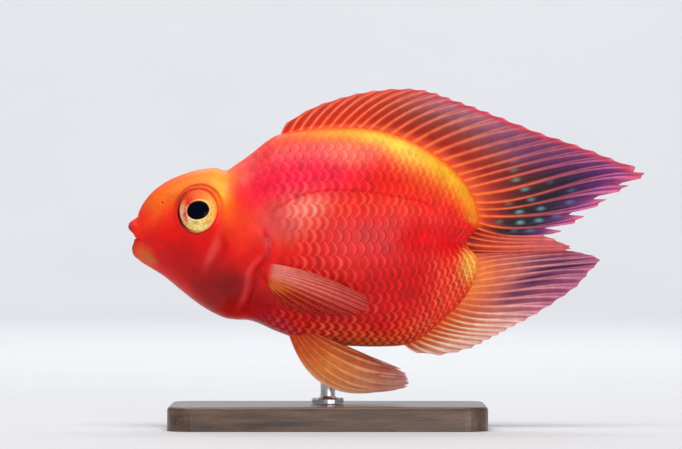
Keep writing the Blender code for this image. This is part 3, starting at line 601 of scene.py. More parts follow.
def wood_material():
    """Dark walnut with long grain along X, under a satin varnish."""
    paint = Paint("walnut")
    stretch = paint.stretched((1.0, 11.0, 11.0))
    fine = paint.noise(190.0, 4.0, 0.6, stretch)
    ramp = paint.node("ShaderNodeValToRGB", {"Fac": paint.noise(34.0, 6.0, 0.62, stretch)})
    for stop, position, colour in zip(
        ramp.color_ramp.elements, (0.32, 0.70), ((0.030, 0.013, 0.006, 1.0), (0.155, 0.075, 0.034, 1.0))
    ):
        stop.position = position
        stop.color = colour
    return paint.surface({
        "Base Color": paint.times(ramp.outputs["Color"], paint.ranged(fine, 0.72, 1.08, 0.35, 0.6)),
        "Roughness": paint.ranged(fine, 0.34, 0.46),
        "Normal": paint.bump(fine, 0.00015, 0.3),
        "Coat Weight": 0.35,
        "Coat Roughness": 0.22,
    })


def steel_material():
    """Brushed steel, its scratches running round the rod."""
    paint = Paint("brushed_steel")
    brushed = paint.noise(5200.0, 3.0, 0.6, paint.stretched((0.05, 0.05, 1.0)))
    return paint.surface({
        "Base Color": paint.times((0.62, 0.63, 0.65, 1.0), paint.ranged(brushed, 0.88, 1.0)),
        "Roughness": paint.ranged(brushed, 0.22, 0.38),
        "Normal": paint.bump(brushed, 0.00002, 0.3),
        "Metallic": 1.0,
    })


# Skin

def eye_frame(side):
    """The eye's middle, and the turn that takes its own axes to the fish's."""
    lean = Matrix.Rotation(side * EYE_TURN, 3, "Z") @ Matrix.Rotation(side * EYE_TILT, 3, "X")
    return np.array((EYE_X, side * EYE_CENTRE_Y, EYE_Z)), np.array(lean)


def curve_terms(own):
    """The terms of a smooth curved surface over the eye's own x and z."""
    return np.stack([own[..., 0] ** i * own[..., 2] ** j for i in range(5) for j in range(5 - i)], axis=-1)


def sink_sockets(points):
    """Folds the skin in round each eyeball: a low rim, a clean edge, and a hollow that the eyeball fills."""
    for side in (-1, 1):
        centre, lean = eye_frame(side)
        own = (points - centre) @ lean
        ahead = own[..., 1] * side > -6.0
        ring = np.hypot(own[..., 0] / EYE_HALF_LENGTH, own[..., 2] / EYE_HALF_HEIGHT)
        on_edge = ahead & (np.abs(ring - 1) < SOCKET_EDGE)
        stretch = np.where(on_edge, 1 / np.maximum(ring, 0.5), 1.0)
        near = ahead & (ring > 0.85) & (ring < 1.2)
        depth = np.linalg.lstsq(curve_terms(own[near]), own[near][:, 1], rcond=None)[0]
        moved = own * np.stack((stretch, np.ones_like(stretch), stretch), axis=-1)
        moved[on_edge, 1] += (curve_terms(moved[on_edge]) - curve_terms(own[on_edge])) @ depth
        points = moved @ lean.T + centre
        ring = np.where(on_edge, 1.0, ring)
        above = smooth_step(-0.2, 0.8, moved[..., 2] / EYE_HALF_HEIGHT)
        rim = (0.28 + 0.22 * above) * bump(ring, 1.09, 0.085)
        crease = (0.05 + 0.36 * above) * bump(ring, 1.22, 0.05)
        outer = 0.20 * above * bump(ring, 1.33, 0.09)
        hollow = SOCKET_DEPTH * (1 - smooth_step(0.95, 0.995, ring))
        push = np.where(ahead, rim - crease + outer - hollow, 0.0)
        points = points + (push * side)[..., None] * lean[:, 1]
    return points


def mouth_terms(x, y):
    """How far round the snout points lie, in radians and as a share of the mouth, and its line's height."""
    turn = np.arctan2(np.abs(y), MOUTH_CENTRE_X - x)
    share = np.clip(turn / MOUTH_SPREAD, 0.0, 1.0)
    return turn, share, blend(MOUTH_LINE_Z, MOUTH_CORNER_Z, share**2)


def shape_mouth(points):
    """Swells the lips out of the snout and draws the mouth's line in between them."""
    x, y, z = np.moveaxis(points, -1, 0)
    turn, share, line = mouth_terms(x, y)
    out = 0.0
    for front_z, half, lift in (
        (UPPER_LIP_Z, UPPER_LIP_HALF, UPPER_LIP_OUT),
        (LOWER_LIP_Z, LOWER_LIP_HALF, LOWER_LIP_OUT),
    ):
        level = blend(front_z, MOUTH_CORNER_Z, 0.6 * share**2)
        out = out + lift * np.exp(-np.abs((z - level) / half) ** 3)
    out = out * (1 - smooth_step(0.25, 1.0, share))
    reach = 1 - smooth_step(0.8, 1.12, turn / MOUTH_SPREAD)
    out = out - (1.0 - 0.6 * share) * reach * bump(z, line, 0.38)
    fold = bump(turn / MOUTH_SPREAD, 1.18, 0.10) * bump(z, MOUTH_CORNER_Z - 0.5, 3.2)
    rims = 0.28 * bump(z, UPPER_LIP_Z + 3.1, 0.5) + 0.22 * bump(z, LOWER_LIP_Z - 2.9, 0.5)
    out = out - 0.25 * fold - rims * (1 - smooth_step(0.5, 1.1, turn / MOUTH_SPREAD))
    return np.stack((x - out * np.cos(turn), y + np.sign(y) * out * np.sin(turn), z), axis=-1)


def shape_cheeks(points):
    """The gill cover's raised edge and its step to the body, the cheek's groove and ridge, the nostrils."""
    x, y, z = np.moveaxis(points, -1, 0)
    ahead = smooth_value(GILL_EDGE, z) - x
    window = between(z, *GILL_FADES)
    cover = np.where(ahead > 0, np.exp(-((ahead / GILL_LIFT_LENGTH) ** 2)), 1 - smooth_step(0.0, 1.3, -ahead))
    low = 1 - smooth_step(-12.0, -4.0, z)
    out = window * (GILL_LIFT * cover - 0.12 * bump(ahead, -1.2, 0.7) - 0.25 * bump(ahead, 3.3, 0.7) * low)
    from_groove = ahead - CHEEK_GROOVE_AHEAD
    grooves = 0.22 * bump(from_groove, 0.0, 1.4)
    grooves = grooves + 0.18 * bump(from_groove, -5.5, 1.1) * smooth_step(3.0, 6.0, -z)
    out = out + (0.20 * bump(from_groove, 2.8, 1.7) - grooves) * between(z, *CHEEK_FADES)
    from_nostril = np.hypot(x - NOSTRIL_X, z - NOSTRIL_Z)
    out = out - 0.5 * np.exp(-((from_nostril / (NOSTRIL_RADIUS * 0.7)) ** 4))
    out = out + 0.08 * bump(from_nostril, NOSTRIL_RADIUS * 1.7, 0.35)
    return np.stack((x, y + np.sign(y) * np.clip(out, -np.abs(y), None), z), axis=-1)


def skin_points(places, angles):
    """The skin: the body drawn in where scales cover it, and shaped on the head."""
    at = body_points(places, angles)
    ahead, behind = (np.clip(places + step, 0, PLACE_END) for step in (0.15, -0.15))
    along = body_points(ahead, angles) - body_points(behind, angles)
    around = body_points(places, angles + 0.01) - body_points(places, angles - 0.01)
    room = SCALE_ROOM * smooth_step(-1.0, 3.0, at[..., 0] - smooth_value(SCALE_FRONT, at[..., 2]))
    at = at - unit(np.cross(along, around)) * room[..., None]
    return shape_mouth(sink_sockets(shape_cheeks(at)))


def make_skin(material):
    """One closed skin from the lips to the cleft, finer on the head than under the scales."""
    lips, head_end, rear = place_at_x(6.0), place_at_x(47.0), place_at_x(112.0)
    places = np.concatenate((
        np.linspace(0.02, lips, 56, endpoint=False),
        np.linspace(lips, head_end, 140, endpoint=False),
        np.linspace(head_end, rear, 46, endpoint=False),
        np.linspace(rear, PLACE_END - 0.02, 34),
    ))
    count, around = len(places), 352
    angles = np.linspace(0, 2 * math.pi, around + 1)
    points = skin_points(places[:, None], angles[None, :-1])
    points = np.concatenate((points.reshape(-1, 3), points[[0, -1]].mean(axis=1)))
    quads = grid_quads(count, around, wrap=True)[:, ::-1]
    j = np.arange(around)
    k = (j + 1) % around
    first, last = np.full(around, count * around), np.full(around, count * around + 1)
    row = (count - 1) * around
    caps = np.concatenate((np.stack((first, j, k), axis=-1), np.stack((last, row + k, row + j), axis=-1)))
    uv = unwrap_skin(places, angles)
    piece = make_piece("skin", points, [quads, caps], material, wet_paint(head_colour(points)), uv=uv)
    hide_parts("head", "torso", "tail")
    return piece


def skin_uv(place, angle):
    """The skin's own unwrap: along the body across the map, round it up the map."""
    place, angle = np.broadcast_arrays(place, angle)
    return 0.02 + 0.96 * np.stack((place / PLACE_END, angle / (2 * math.pi)), axis=-1)


def unwrap_skin(places, angles):
    """The skin's unwrap, cut along the back, for the corners of its quads and then of its two end caps."""
    grid = skin_uv(places[:, None], angles[None, :])
    sides = grid.reshape(-1, 2)[grid_quads(len(places), len(angles))[:, ::-1]]
    middle = (angles[1:] + angles[:-1]) / 2
    caps = [
        np.stack((skin_uv(end, middle), *edge), axis=1)
        for end, edge in ((0.0, (grid[0, :-1], grid[0, 1:])), (PLACE_END, (grid[-1, 1:], grid[-1, :-1])))
    ]
    return np.concatenate([corners.reshape(-1, 2) for corners in (sides, *caps)])


def head_colour(points):
    """The markings, with the shades of the lips, gill edge and eye rims, and painted shade in the mouth's
    line, the nostrils, the crease behind the gill cover, the cheek's groove and in and round each eye socket.
    """
    x, y, z = np.moveaxis(points, -1, 0)
    turn, share, line = mouth_terms(x, y)
    near = (x < 10) * (1 - smooth_step(0.9, 1.2, turn / MOUTH_SPREAD))
    from_nostril = np.hypot(x - NOSTRIL_X, z - NOSTRIL_Z)
    ahead = smooth_value(GILL_EDGE, z) - x
    window = between(z, (-27.0, -20.0), (0.0, 5.0))
    low = 1 - smooth_step(-9.0, -3.0, z)
    cheek = between(z, (-19.0, -13.0), (-2.0, 3.0))
    colour = lay(
        flesh_colour(x, z),
        # Painted shade in the mouth's line between the lips.
        ((168, 36, 30), (0.7 - 0.5 * share) * near * bump(z, line, 0.5)),
        ((176, 70, 72), 0.75 * near * (x < 2.2) * bump(z, UPPER_LIP_Z - 0.4, 1.7)),
        # Painted shade in each nostril's pit.
        ((170, 50, 26), 0.6 * np.exp(-((from_nostril / 0.42) ** 4))),
        # Painted shade in the crease just behind the gill cover's raised edge.
        ((176, 4, 16), 0.6 * window * bump(ahead, -1.0, 1.0)),
        ((236, 84, 74), 0.30 * window * bump(ahead, 0.9, 0.9)),
        ((226, 84, 84), 0.65 * window * low * bump(ahead, 1.8, 1.1)),
        # Painted shade in the cheek's groove.
        ((156, 8, 14), 0.3 * cheek * bump(ahead, CHEEK_GROOVE_AHEAD, 1.4)),
    )
    for side in (-1, 1):
        centre, lean = eye_frame(side)
        own = (points - centre) @ lean
        ring = np.hypot(own[..., 0] / EYE_HALF_LENGTH, own[..., 2] / EYE_HALF_HEIGHT)
        there = np.where(y < 0, -1, 1) == side
        above = smooth_step(-0.3, 0.9, own[..., 2] / EYE_HALF_HEIGHT)
        way = np.arctan2(own[..., 2], own[..., 0])
        # The socket's wall inside the rim: orange, with painted shade on its front side.
        shaded_socket_wall = mix(np.array((206.0, 96.0, 36.0)), (52, 14, 10), toward(way, 192, 63))
        colour = lay(
            colour,
            # Painted shade in the crease round the eye, mostly above it.
            ((196, 52, 22), there * (0.10 + 0.60 * above) * bump(ring, 1.22, 0.055)),
            ((232, 84, 34), there * 0.7 * above * bump(ring, 1.08, 0.09)),
            # Painted shadow at the upper front of the socket's rim.
            ((150, 14, 10), there * 0.75 * toward(way, 140.4, 43) * bump(ring, 1.06, 0.055)),
            (shaded_socket_wall, there * 0.9 * (1 - smooth_step(0.97, 1.005, ring))),
        )
    return colour


# Scales

SCALE_PITCH, ROW_PITCH = 3.05, 4.65
SCALE_LENGTH, SCALE_WIDTH, SCALE_THICKNESS = 6.0, 6.7, 0.025
# How deep a scale's root lies in the skin, and how far its rear edge rises from there
SCALE_SUNK, SCALE_RISE = 0.045, 0.13
# A plate's points along and across it
SCALE_ALONG, SCALE_ACROSS = 10, 15
# Rows are counted from the flank's middle, those above it below zero, and stop short of back and belly
FIRST_ROW, LAST_ROW, ROW_MARGIN = -13, 15, 0.9
# They lie closer together by this share for each row above or below the middle one
CLOSER_ABOVE, CLOSER_BELOW = 0.012, 0.021
# Their spacing also follows the way round from the flank's middle to the back or belly, to this power
ROW_TAPER = 0.6
REAR_SHORTER = 0.22
ROW_START_X, LAST_ROOT_X = 60.0, 117.6
GROWTH_RINGS = 15.12


def scale_rows():
    """Rows of scales on the fish's right side: for places along the body, each row's angle and spacing."""
    places = np.linspace(place_at_x(28.0), place_at_x(120.0), 500)
    angles = np.linspace(0.0, math.pi, 361)
    run = np.stack([run_along(section) for section in body_points(places[:, None], angles[None, :])])
    middle = run[:, len(angles) // 2]
    rows = []
    for i in range(FIRST_ROW, LAST_ROW + 1):
        reach, closer = (middle, CLOSER_ABOVE) if i < 0 else (run[:, -1] - middle, CLOSER_BELOW)
        taper = (reach / reach.max()) ** ROW_TAPER
        target = middle + ROW_PITCH * i * (1 - closer * abs(i)) * taper
        angle = np.array([np.interp(t, r, angles) for t, r in zip(target, run)])
        inside = (target > ROW_MARGIN) & (target < run[:, -1] - ROW_MARGIN)
        rows.append((i, angle, (1 - 2 * closer * abs(i)) * taper, inside))
    return places, rows


def scale_roots():
    """Every scale's root: place, angle, how its row's angle changes along the body, its length and width."""
    places, rows = scale_rows()
    x = smooth_rows(BODY_PLACES, BODY_STATIONS, places)[:, 0]
    length = 1 - REAR_SHORTER * smooth_step(72.0, 108.0, x)
    roots = []
    for i, angle, width, inside in rows:
        path = body_points(places, angle)
        step = np.linalg.norm(np.diff(path, axis=0), axis=1) / (SCALE_PITCH * length[1:])
        count = np.concatenate(([0.0], np.cumsum(step)))
        count -= np.interp(place_at_x(ROW_START_X), places, count)
        at = np.arange(math.ceil(count[0]), count[-1]) + (0.5 if i % 2 else 0.0)
        at = at + RNG.normal(0.0, 0.025, len(at))
        place, here, slope, long, wide, fits = (
            np.interp(at, count, v)
            for v in (places, angle, np.gradient(angle, places), length, width, inside.astype(float))
        )
        spot = body_points(place, here)
        covered = (spot[:, 0] > smooth_value(SCALE_FRONT, spot[:, 2]) - 1.0) & (spot[:, 0] < LAST_ROOT_X)
        fits = (fits > 0.5) & covered
        roots.append(np.stack((place, here, slope, long, wide), axis=-1)[fits])
    return np.concatenate(roots)


def body_frame(place, angle):
    """Points of the body with their outward normals, and how far a step in place or angle goes there."""
    at = body_points(place, angle)
    along = (body_points(place + 0.1, angle) - body_points(place - 0.1, angle)) / 0.2
    around = (body_points(place, angle + 0.005) - body_points(place, angle - 0.005)) / 0.01
    return at, unit(np.cross(along, around)), np.linalg.norm(along, axis=-1), np.linalg.norm(around, axis=-1)


def make_scales(material):
    """Overlapping plates, each set in the skin by its root and lifted at its rounded rear edge."""
    roots = scale_roots()
    place, angle, slope, long, wide = roots.T[..., None, None]
    spot, _, along_size, around_size = body_frame(place, angle)
    x, z = spot[..., 0], spot[..., 2]
    chest = patch(x, z, (50.0, -27.0), (14.0, 9.0))
    near_edge = 1 - smooth_step(0.5, 5.0, from_outline(x, z)[0])
    ahead = smooth_step(0.0, 14.0, x - smooth_value(SCALE_FRONT, z))
    size = (1 - 0.08 * chest - 0.08 * near_edge) * RNG.normal(1.0, 0.02, place.shape)
    height = (0.12 + 0.88 * ahead) * (1 - 0.35 * near_edge)
    t = ((np.arange(SCALE_ALONG) / (SCALE_ALONG - 1)) ** 0.8)[:, None]
    u = np.linspace(-1, 1, SCALE_ACROSS)
    length = t * (1 - 0.34 * u**2 - 0.10 * u**4) * SCALE_LENGTH
    width = u * SCALE_WIDTH / 2 * (0.86 + 0.14 * np.sin(math.pi * t))
    rise = SCALE_RISE * length / SCALE_LENGTH - SCALE_SUNK
    rise = rise + 0.02 * (1 - u**2 - smooth_step(0.86, 1.0, t))
    d_place = length * size * long / along_size
    at_place = np.clip(place + d_place, 0, PLACE_END - 0.05)
    at_angle = np.clip(angle + slope * d_place + width * size * wide / around_size, 0.01, math.pi - 0.01)
    at, normal, _, _ = body_frame(at_place, at_angle)
    lift = (rise * height - SCALE_ROOM)[..., None]
    top, under = at + normal * lift, at + normal * (lift - SCALE_THICKNESS)
    under[:, -1] = (at + normal * (lift - SCALE_THICKNESS * 0.6))[:, -1]
    colour = scale_colour(at, t, u)
    patch_uv = np.stack((length / SCALE_LENGTH - 0.5, width / SCALE_WIDTH), axis=-1) * 0.003
    front = (x < np.median(x))[:, 0, 0]
    for name, side in (("left", -1), ("right", 1)):
        flip = np.array((1.0, side, 1.0))
        uv = skin_uv(place, angle if side > 0 else 2 * math.pi - angle) + patch_uv
        for part, pick in (("front", front), ("rear", ~front)):
            sheets = top[pick] * flip, under[pick] * flip
            join_scales(f"scales_{name}_{part}", *sheets, colour[pick], t, uv[pick], material)


def join_scales(name, top, under, colour, along, uv, material):
    """One mesh of many closed plates."""
    count, per = len(top), SCALE_ALONG * SCALE_ACROSS

    def both(value, *shape):
        """Values of every plate's points, for its top and the same for its underside."""
        return np.concatenate([value.reshape(count, per, *shape)] * 2, axis=1)

    points = np.stack((top, under), axis=1)
    one = sheet_faces(SCALE_ALONG, SCALE_ACROSS)
    faces = (one + (np.arange(count) * 2 * per)[:, None, None]).reshape(-1, 4)
    values = {"along": both(np.broadcast_to(along, top.shape[:3]))}
    piece = make_piece(name, points, [faces], material, wet_paint(both(colour, 3)), values, both(uv, 2))
    turn_out(piece)
    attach(piece, "root")


def scale_colour(at, t, u):
    """The markings with each scale a little different, darker where it comes out from under the scale before
    it, as painted shade, and paler along its free edge, as a painted highlight.
    """
    count = len(at)
    colour = flesh_colour(at[..., 0], at[..., 2])
    middle = at[:, SCALE_ALONG // 2, SCALE_ACROSS // 2]
    x, z = middle[:, 0], middle[:, 2]
    far, run = from_outline(x, z)
    # How strongly each scale's painted highlight and shade show: less near the back's edge, towards the front
    # of the scales and higher up, and a little different from scale to scale.
    calm = 1 - 0.75 * (1 - smooth_step(2.0, 9.0, far)) * (run < BAND_TO)
    calm = calm * (0.1 + 0.9 * smooth_step(2.0, 15.0, x - smooth_value(SCALE_FRONT, z)))
    calm = calm * (1.4 - 0.85 * smooth_step(-14.0, 22.0, z))
    painted_light_strength = (calm * np.clip(RNG.normal(1.0, 0.22, count), 0.4, 1.6))[:, None, None]
    # Painted highlight: a pale band along each scale's free edge.
    edge = bump(t, 0.86, 0.09) * (1 - 0.7 * np.abs(u) ** 3)
    edge_highlight_lift = 0.55 * colour * (1 - colour / 255) + (6, 9, 9)
    colour = colour + edge_highlight_lift * (edge * painted_light_strength)[..., None]
    # Painted shade: darker just behind the free edge of the scale that overlaps this one.
    colour = colour * (1 - (bump(t, 0.60, 0.10) * painted_light_strength)[..., None] * (0.05, 0.24, 0.18))
    return colour * RNG.normal(1.0, 0.02, (count, 1, 1, 1))


# Eyes

PUPIL_X, PUPIL_Z = 1.0, -0.6
PUPIL_HALF_LENGTH, PUPIL_HALF_HEIGHT = 3.75, 3.15
PUPIL_TILT = math.radians(12)
# Blotches of the iris: direction and half breadth in degrees, distance from the pupil and half depth, colour
EYE_BLOTCHES = (
    (150, 17, 0.9, 0.8, (214, 44, 36)),
    (182, 8, 0.8, 0.6, (224, 92, 76)),
    (206, 14, 0.8, 0.75, (208, 50, 50)),
    (226, 8, 1.3, 0.6, (216, 84, 70)),
    (247, 15, 0.7, 0.6, (255, 244, 208)),
    (276, 10, 1.0, 0.45, (186, 160, 92)),
    (318, 13, 1.7, 0.5, (232, 170, 84)),
    (58, 10, 1.3, 0.5, (206, 112, 44)),
    (100, 12, 1.2, 0.5, (226, 84, 44)),
)


def make_eye(name, side, material):
    """An eyeball: a flattened iris, a ring round the pupil, and the lens bulging through it."""
    around = 160
    angle = np.linspace(0, 2 * math.pi, around, endpoint=False)[None]
    c, s = math.cos(PUPIL_TILT), math.sin(PUPIL_TILT)
    pupil_x = PUPIL_HALF_LENGTH * np.cos(angle) * c - PUPIL_HALF_HEIGHT * np.sin(angle) * s
    pupil_z = PUPIL_HALF_LENGTH * np.cos(angle) * s + PUPIL_HALF_HEIGHT * np.sin(angle) * c
    rim_x = EYE_HALF_LENGTH * np.cos(angle + PUPIL_TILT)
    rim_z = EYE_HALF_HEIGHT * np.sin(angle + PUPIL_TILT)
    inner = np.concatenate((np.linspace(0.0, 0.94, 16, endpoint=False), np.linspace(0.94, 1.25, 26)))[:, None]
    outer = np.linspace(0.0, 1.0, 31)[1:, None] ** 0.8
    behind = np.linspace(1.0, 0.9, 8)[:, None]

    def rings(start, pupil, rim):
        """Rings from the pupil's middle past its edge, on to the eye's rim and in behind it."""
        within = start + inner * pupil
        return np.concatenate((within, within[-1:] + (rim - within[-1:]) * outer, rim * behind))

    x, z = rings(PUPIL_X, pupil_x, rim_x), rings(PUPIL_Z, pupil_z, rim_z)
    radial = np.hypot(x / EYE_HALF_LENGTH, z / EYE_HALF_HEIGHT)
    dome = EYE_HALF_DEPTH * np.sqrt(np.clip(1 - radial**2, 0, 1))
    dome[-len(behind):] = -np.linspace(0.2, 1.6, len(behind))[:, None]
    pupil = oval(x, z, (PUPIL_X, PUPIL_Z), (PUPIL_HALF_LENGTH, PUPIL_HALF_HEIGHT), PUPIL_TILT)
    iris = smooth_step(0.98, 1.03, pupil)
    flat = 0.42 * smooth_step(1.12, 1.5, pupil) * (1 - smooth_step(0.86, 0.97, radial))
    ridge = 0.16 * bump(pupil, 1.13, 0.08)
    height = dome - flat + ridge - 0.10 * bump(pupil, 1.0, 0.05)
    own = np.stack((x, side * height, z), axis=-1)
    centre, lean = eye_frame(side)
    points = own @ lean.T + centre
    colour = eye_colour(x, z, pupil, radial)
    faces = grid_quads(len(x), around, wrap=True)
    if side > 0:
        faces = faces[:, ::-1]
    uv = 0.5 + 0.45 * np.stack((x / EYE_HALF_LENGTH, z / EYE_HALF_HEIGHT), axis=-1)
    piece = make_piece(name, points, [faces], material, linear(colour), {"iris": iris}, uv)
    bm = bmesh.new()
    bm.from_mesh(piece.data)
    bmesh.ops.remove_doubles(bm, verts=bm.verts, dist=1e-7)
    bmesh.ops.holes_fill(bm, edges=[e for e in bm.edges if e.is_boundary])
    bm.to_mesh(piece.data)
    bm.free()
    turn_out(piece)
    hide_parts(name)
    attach(piece, "root")


def eye_colour(x, z, pupil, radial):
    """Cream below, gold behind, pink in front, orange above, with a painted shadow of the socket as a dark
    crescent round the front.
    """
    way = np.arctan2(z / EYE_HALF_HEIGHT, x / EYE_HALF_LENGTH)
    off = (pupil - 1) * PUPIL_HALF_HEIGHT
    inside = smooth_step(0.5, 1.6, (pupil - 1) * 3)
    colour = lay(
        np.full(x.shape + (3,), (252, 186, 84), float),
        ((252, 238, 150), 0.95 * toward(way, -75, 50)),
        ((246, 190, 158), 0.95 * toward(way, 190, 44)),
        ((240, 106, 44), toward(way, 90, 52) * (0.75 + 0.25 * inside)),
        ((222, 56, 38), 0.9 * toward(way, 134, 26)),
        ((252, 216, 160), 0.8 * bump(off, 0.38, 0.25) * (0.25 + 0.75 * toward(way, 45, 80))),
    )
    for degrees, half, middle, breadth, shade in EYE_BLOTCHES:
        ragged = 1 + 0.35 * np.sin(way * 13 + degrees) * np.sin(off * 5 + degrees)
        colour = mix(colour, shade, 0.85 * toward(way, degrees, half) * bump(off, middle, breadth * ragged))
    streak = np.sin(way * 23 + 2 * np.sin(off * 2.3)) * np.sin(off * 4.1 + 2 * np.sin(way * 5))
    socket_shadow_side = toward(way, 197, 64)
    return lay(
        colour,
        (colour * (0.93, 0.70, 0.55), 0.6 * smooth_step(0.15, 0.8, streak)),
        # Painted shadow of the socket: a dark crescent round the eyeball's front edge.
        ((58, 16, 12), 0.96 * socket_shadow_side * smooth_step(0.93, 0.98, radial + 0.105 * socket_shadow_side)),
        ((226, 88, 36), 0.8 * smooth_step(0.84, 0.97, radial) * toward(way, 72, 70)),
        ((120, 60, 34), 0.6 * bump(pupil, 1.02, 0.025)),
        ((5, 4, 20), 1 - smooth_step(0.985, 1.02, pupil)),
    )


# Fins. A tip table's rows are: place across the fin from 0 to 1, tip x, tip z. A bow table's rows are:
# place, and how far a ray bends aside at one third and at two thirds of its length, as a share of that.
# Roots and notches are two rows: places, and the way along the fin's base or the depth of the web's notch.

DORSAL_START_X, DORSAL_END_Z, DORSAL_RAYS, DORSAL_SWAY = 51.5, 3.1, 27, 1.6
EVEN_ROOTS = ((0.0, 1.0), (0.0, 1.0))
DORSAL_ROOTS = ((0.0, 0.35, 0.54, 0.69, 0.85, 1.0), (0.0, 0.355, 0.585, 0.757, 0.892, 1.0))
DORSAL_TIPS = np.array((
    (0.000, 54.0, 39.4), (0.038, 60.6, 43.4), (0.115, 72.5, 47.9), (0.192, 83.6, 50.3),
    (0.269, 96.0, 51.0), (0.423, 113.4, 46.3), (0.538, 127.7, 40.9), (0.615, 140.7, 35.8),
    (0.692, 152.6, 31.8), (0.769, 164.6, 27.2), (0.846, 175.8, 21.3), (0.885, 168.8, 16.8),
    (0.923, 161.5, 12.0), (0.962, 153.6, 6.0), (1.000, 146.0, 1.35),
))
DORSAL_BOWS = np.array((
    (0.00, 0.07, 0.07), (0.35, 0.09, 0.09), (0.55, 0.05, 0.05), (0.65, 0.00, 0.03),
    (0.77, 0.00, 0.06), (0.846, -0.085, 0.095), (0.885, -0.08, 0.05), (0.923, -0.06, -0.05),
    (0.962, -0.13, -0.04), (1.00, -0.11, -0.07),
))
DORSAL_NOTCH = ((0.0, 0.05, 0.5, 0.80, 0.85, 1.0), (0.4, 0.6, 0.7, 0.9, 5.0, 7.5))

ANAL_START_X, ANAL_END_Z, ANAL_RAYS, ANAL_SWAY = 93.6, -4.9, 21, 1.2
ANAL_TIPS = np.array((
    (0.00, 98.6, -39.3), (0.05, 106.3, -40.0), (0.12, 114.4, -38.4), (0.25, 123.3, -34.4),
    (0.40, 131.5, -30.0), (0.50, 139.3, -25.8), (0.575, 146.5, -21.1), (0.65, 153.0, -16.4),
    (0.725, 157.4, -11.4), (0.80, 160.8, -7.5), (0.90, 154.5, -5.0), (1.00, 149.5, -4.1),
))
ANAL_BOWS = np.array((
    (0.00, -0.08, -0.08), (0.20, -0.05, -0.03), (0.40, -0.12, -0.02), (0.60, -0.07, 0.03),
    (0.72, -0.01, 0.045), (0.80, 0.03, 0.0), (0.90, 0.03, 0.02), (1.00, 0.0, 0.0),
))
ANAL_NOTCH = ((0.0, 0.3, 0.9, 1.0), (1.0, 0.8, 0.6, 1.2))

# The tail's stub lies a little to the right of its neighbours' plane, so that its edges pass behind theirs
STUB_START_Z, STUB_END_Z, STUB_RAYS, STUB_ASIDE = 3.0, -4.8, 6, 0.3
STUB_TIPS = np.array((
    (0.0, 141.3, 1.1), (0.2, 145.2, -0.3), (0.4, 148.6, -1.9),
    (0.6, 150.8, -2.7), (0.8, 151.0, -3.6), (1.0, 148.5, -4.4),
))
STUB_BOWS = np.array(((0.0, -0.095, -0.06), (0.5, -0.08, 0.02), (1.0, -0.02, 0.0)))
STUB_NOTCH = ((0.0, 1.0), (1.0, 1.0))

PECTORAL_TOP, PECTORAL_BOTTOM, PECTORAL_RAYS = (46.9, -8.3), (47.3, -14.6), 13
PECTORAL_TIPS = np.array((
    (0.00, 76.8, -17.6), (0.15, 80.8, -19.4), (0.35, 82.0, -21.8), (0.50, 81.4, -24.4),
    (0.65, 76.0, -25.8), (0.80, 67.5, -26.0), (0.92, 59.4, -25.2), (1.00, 54.6, -23.4),
))
PECTORAL_BOWS = np.array(((0.0, 0.067, 0.067), (0.5, 0.027, 0.027), (1.0, -0.08, -0.08)))
PECTORAL_NOTCH = ((0.0, 1.0), (1.0, 1.4))
PECTORAL_SPLAY, PECTORAL_ROOT_BOW = 0.24, 1.4

PELVIC_X = (54.6, 62.4)
PELVIC_ANGLES = (math.radians(10), math.radians(26))
PELVIC_RAYS = 7
PELVIC_TIPS = np.array((
    (0.0, 88.7, -51.3), (0.2, 92.4, -51.2), (0.4, 95.2, -50.0),
    (0.6, 95.3, -47.9), (0.8, 93.4, -45.2), (1.0, 86.6, -42.4),
))
PELVIC_TIP_Y = (9.5, 15.0)
PELVIC_BOWS = np.array(((0.0, -0.32, -0.32), (0.5, -0.19, -0.19), (1.0, 0.0, 0.0)))
PELVIC_NOTCH = ((0.0, 1.0), (2.0, 6.0))

SIDEWAYS = np.array((0.0, 1.0, 0.0))
MEDIAN_ROOT_HALF, STUB_ROOT_HALF, PELVIC_ROOT_HALF = 1.1, 0.9, 0.75
PECTORAL_THINNER, PECTORAL_GAP, PECTORAL_SUNK = 0.8, 0.25, 1.5
RAY_HALF, RAY_TIP_HALF, WEB_HALF = 0.42, 0.12, 0.11
ROOT_FADE, ROOT_SUNK = 0.13, 0.9
STRANDS_PER_RAY, FIN_ROWS = 7, 66
MEDIAN_COLUMNS, PECTORAL_COLUMNS, PELVIC_COLUMNS = 24, 20, 21


def fin_share(rays, per_gap):
    """Places across a fin from 0 to 1, and each one's distance from its nearest ray, in rays."""
    step = np.linspace(-0.5, 0.5, per_gap, endpoint=False)
    places = (np.arange(rays)[:, None] + step[None, :]).ravel()
    places = places[(places >= 0) & (places <= rays - 1)]
    places = np.unique(np.round(np.concatenate((places, [0.0, rays - 1.0])), 6))
    return places / (rays - 1), places - np.round(places)


def ray_profile(off, t):
    """How much of a ray shows, 0 to 1. Each ray forks, and near the margin each fork does again."""
    off, t = np.broadcast_arrays(off[:, None], t[None, :])
    first = 0.19 * smooth_step(0.30, 1.05, t)
    second = 0.06 * smooth_step(0.68, 1.05, t)
    half = 0.150 - 0.070 * smooth_step(0.1, 0.9, t)
    profile = 0.0
    for a in (-1, 1):
        for b in (-1, 1):
            profile = np.maximum(profile, bump(off, a * first + b * second, half))
    return profile


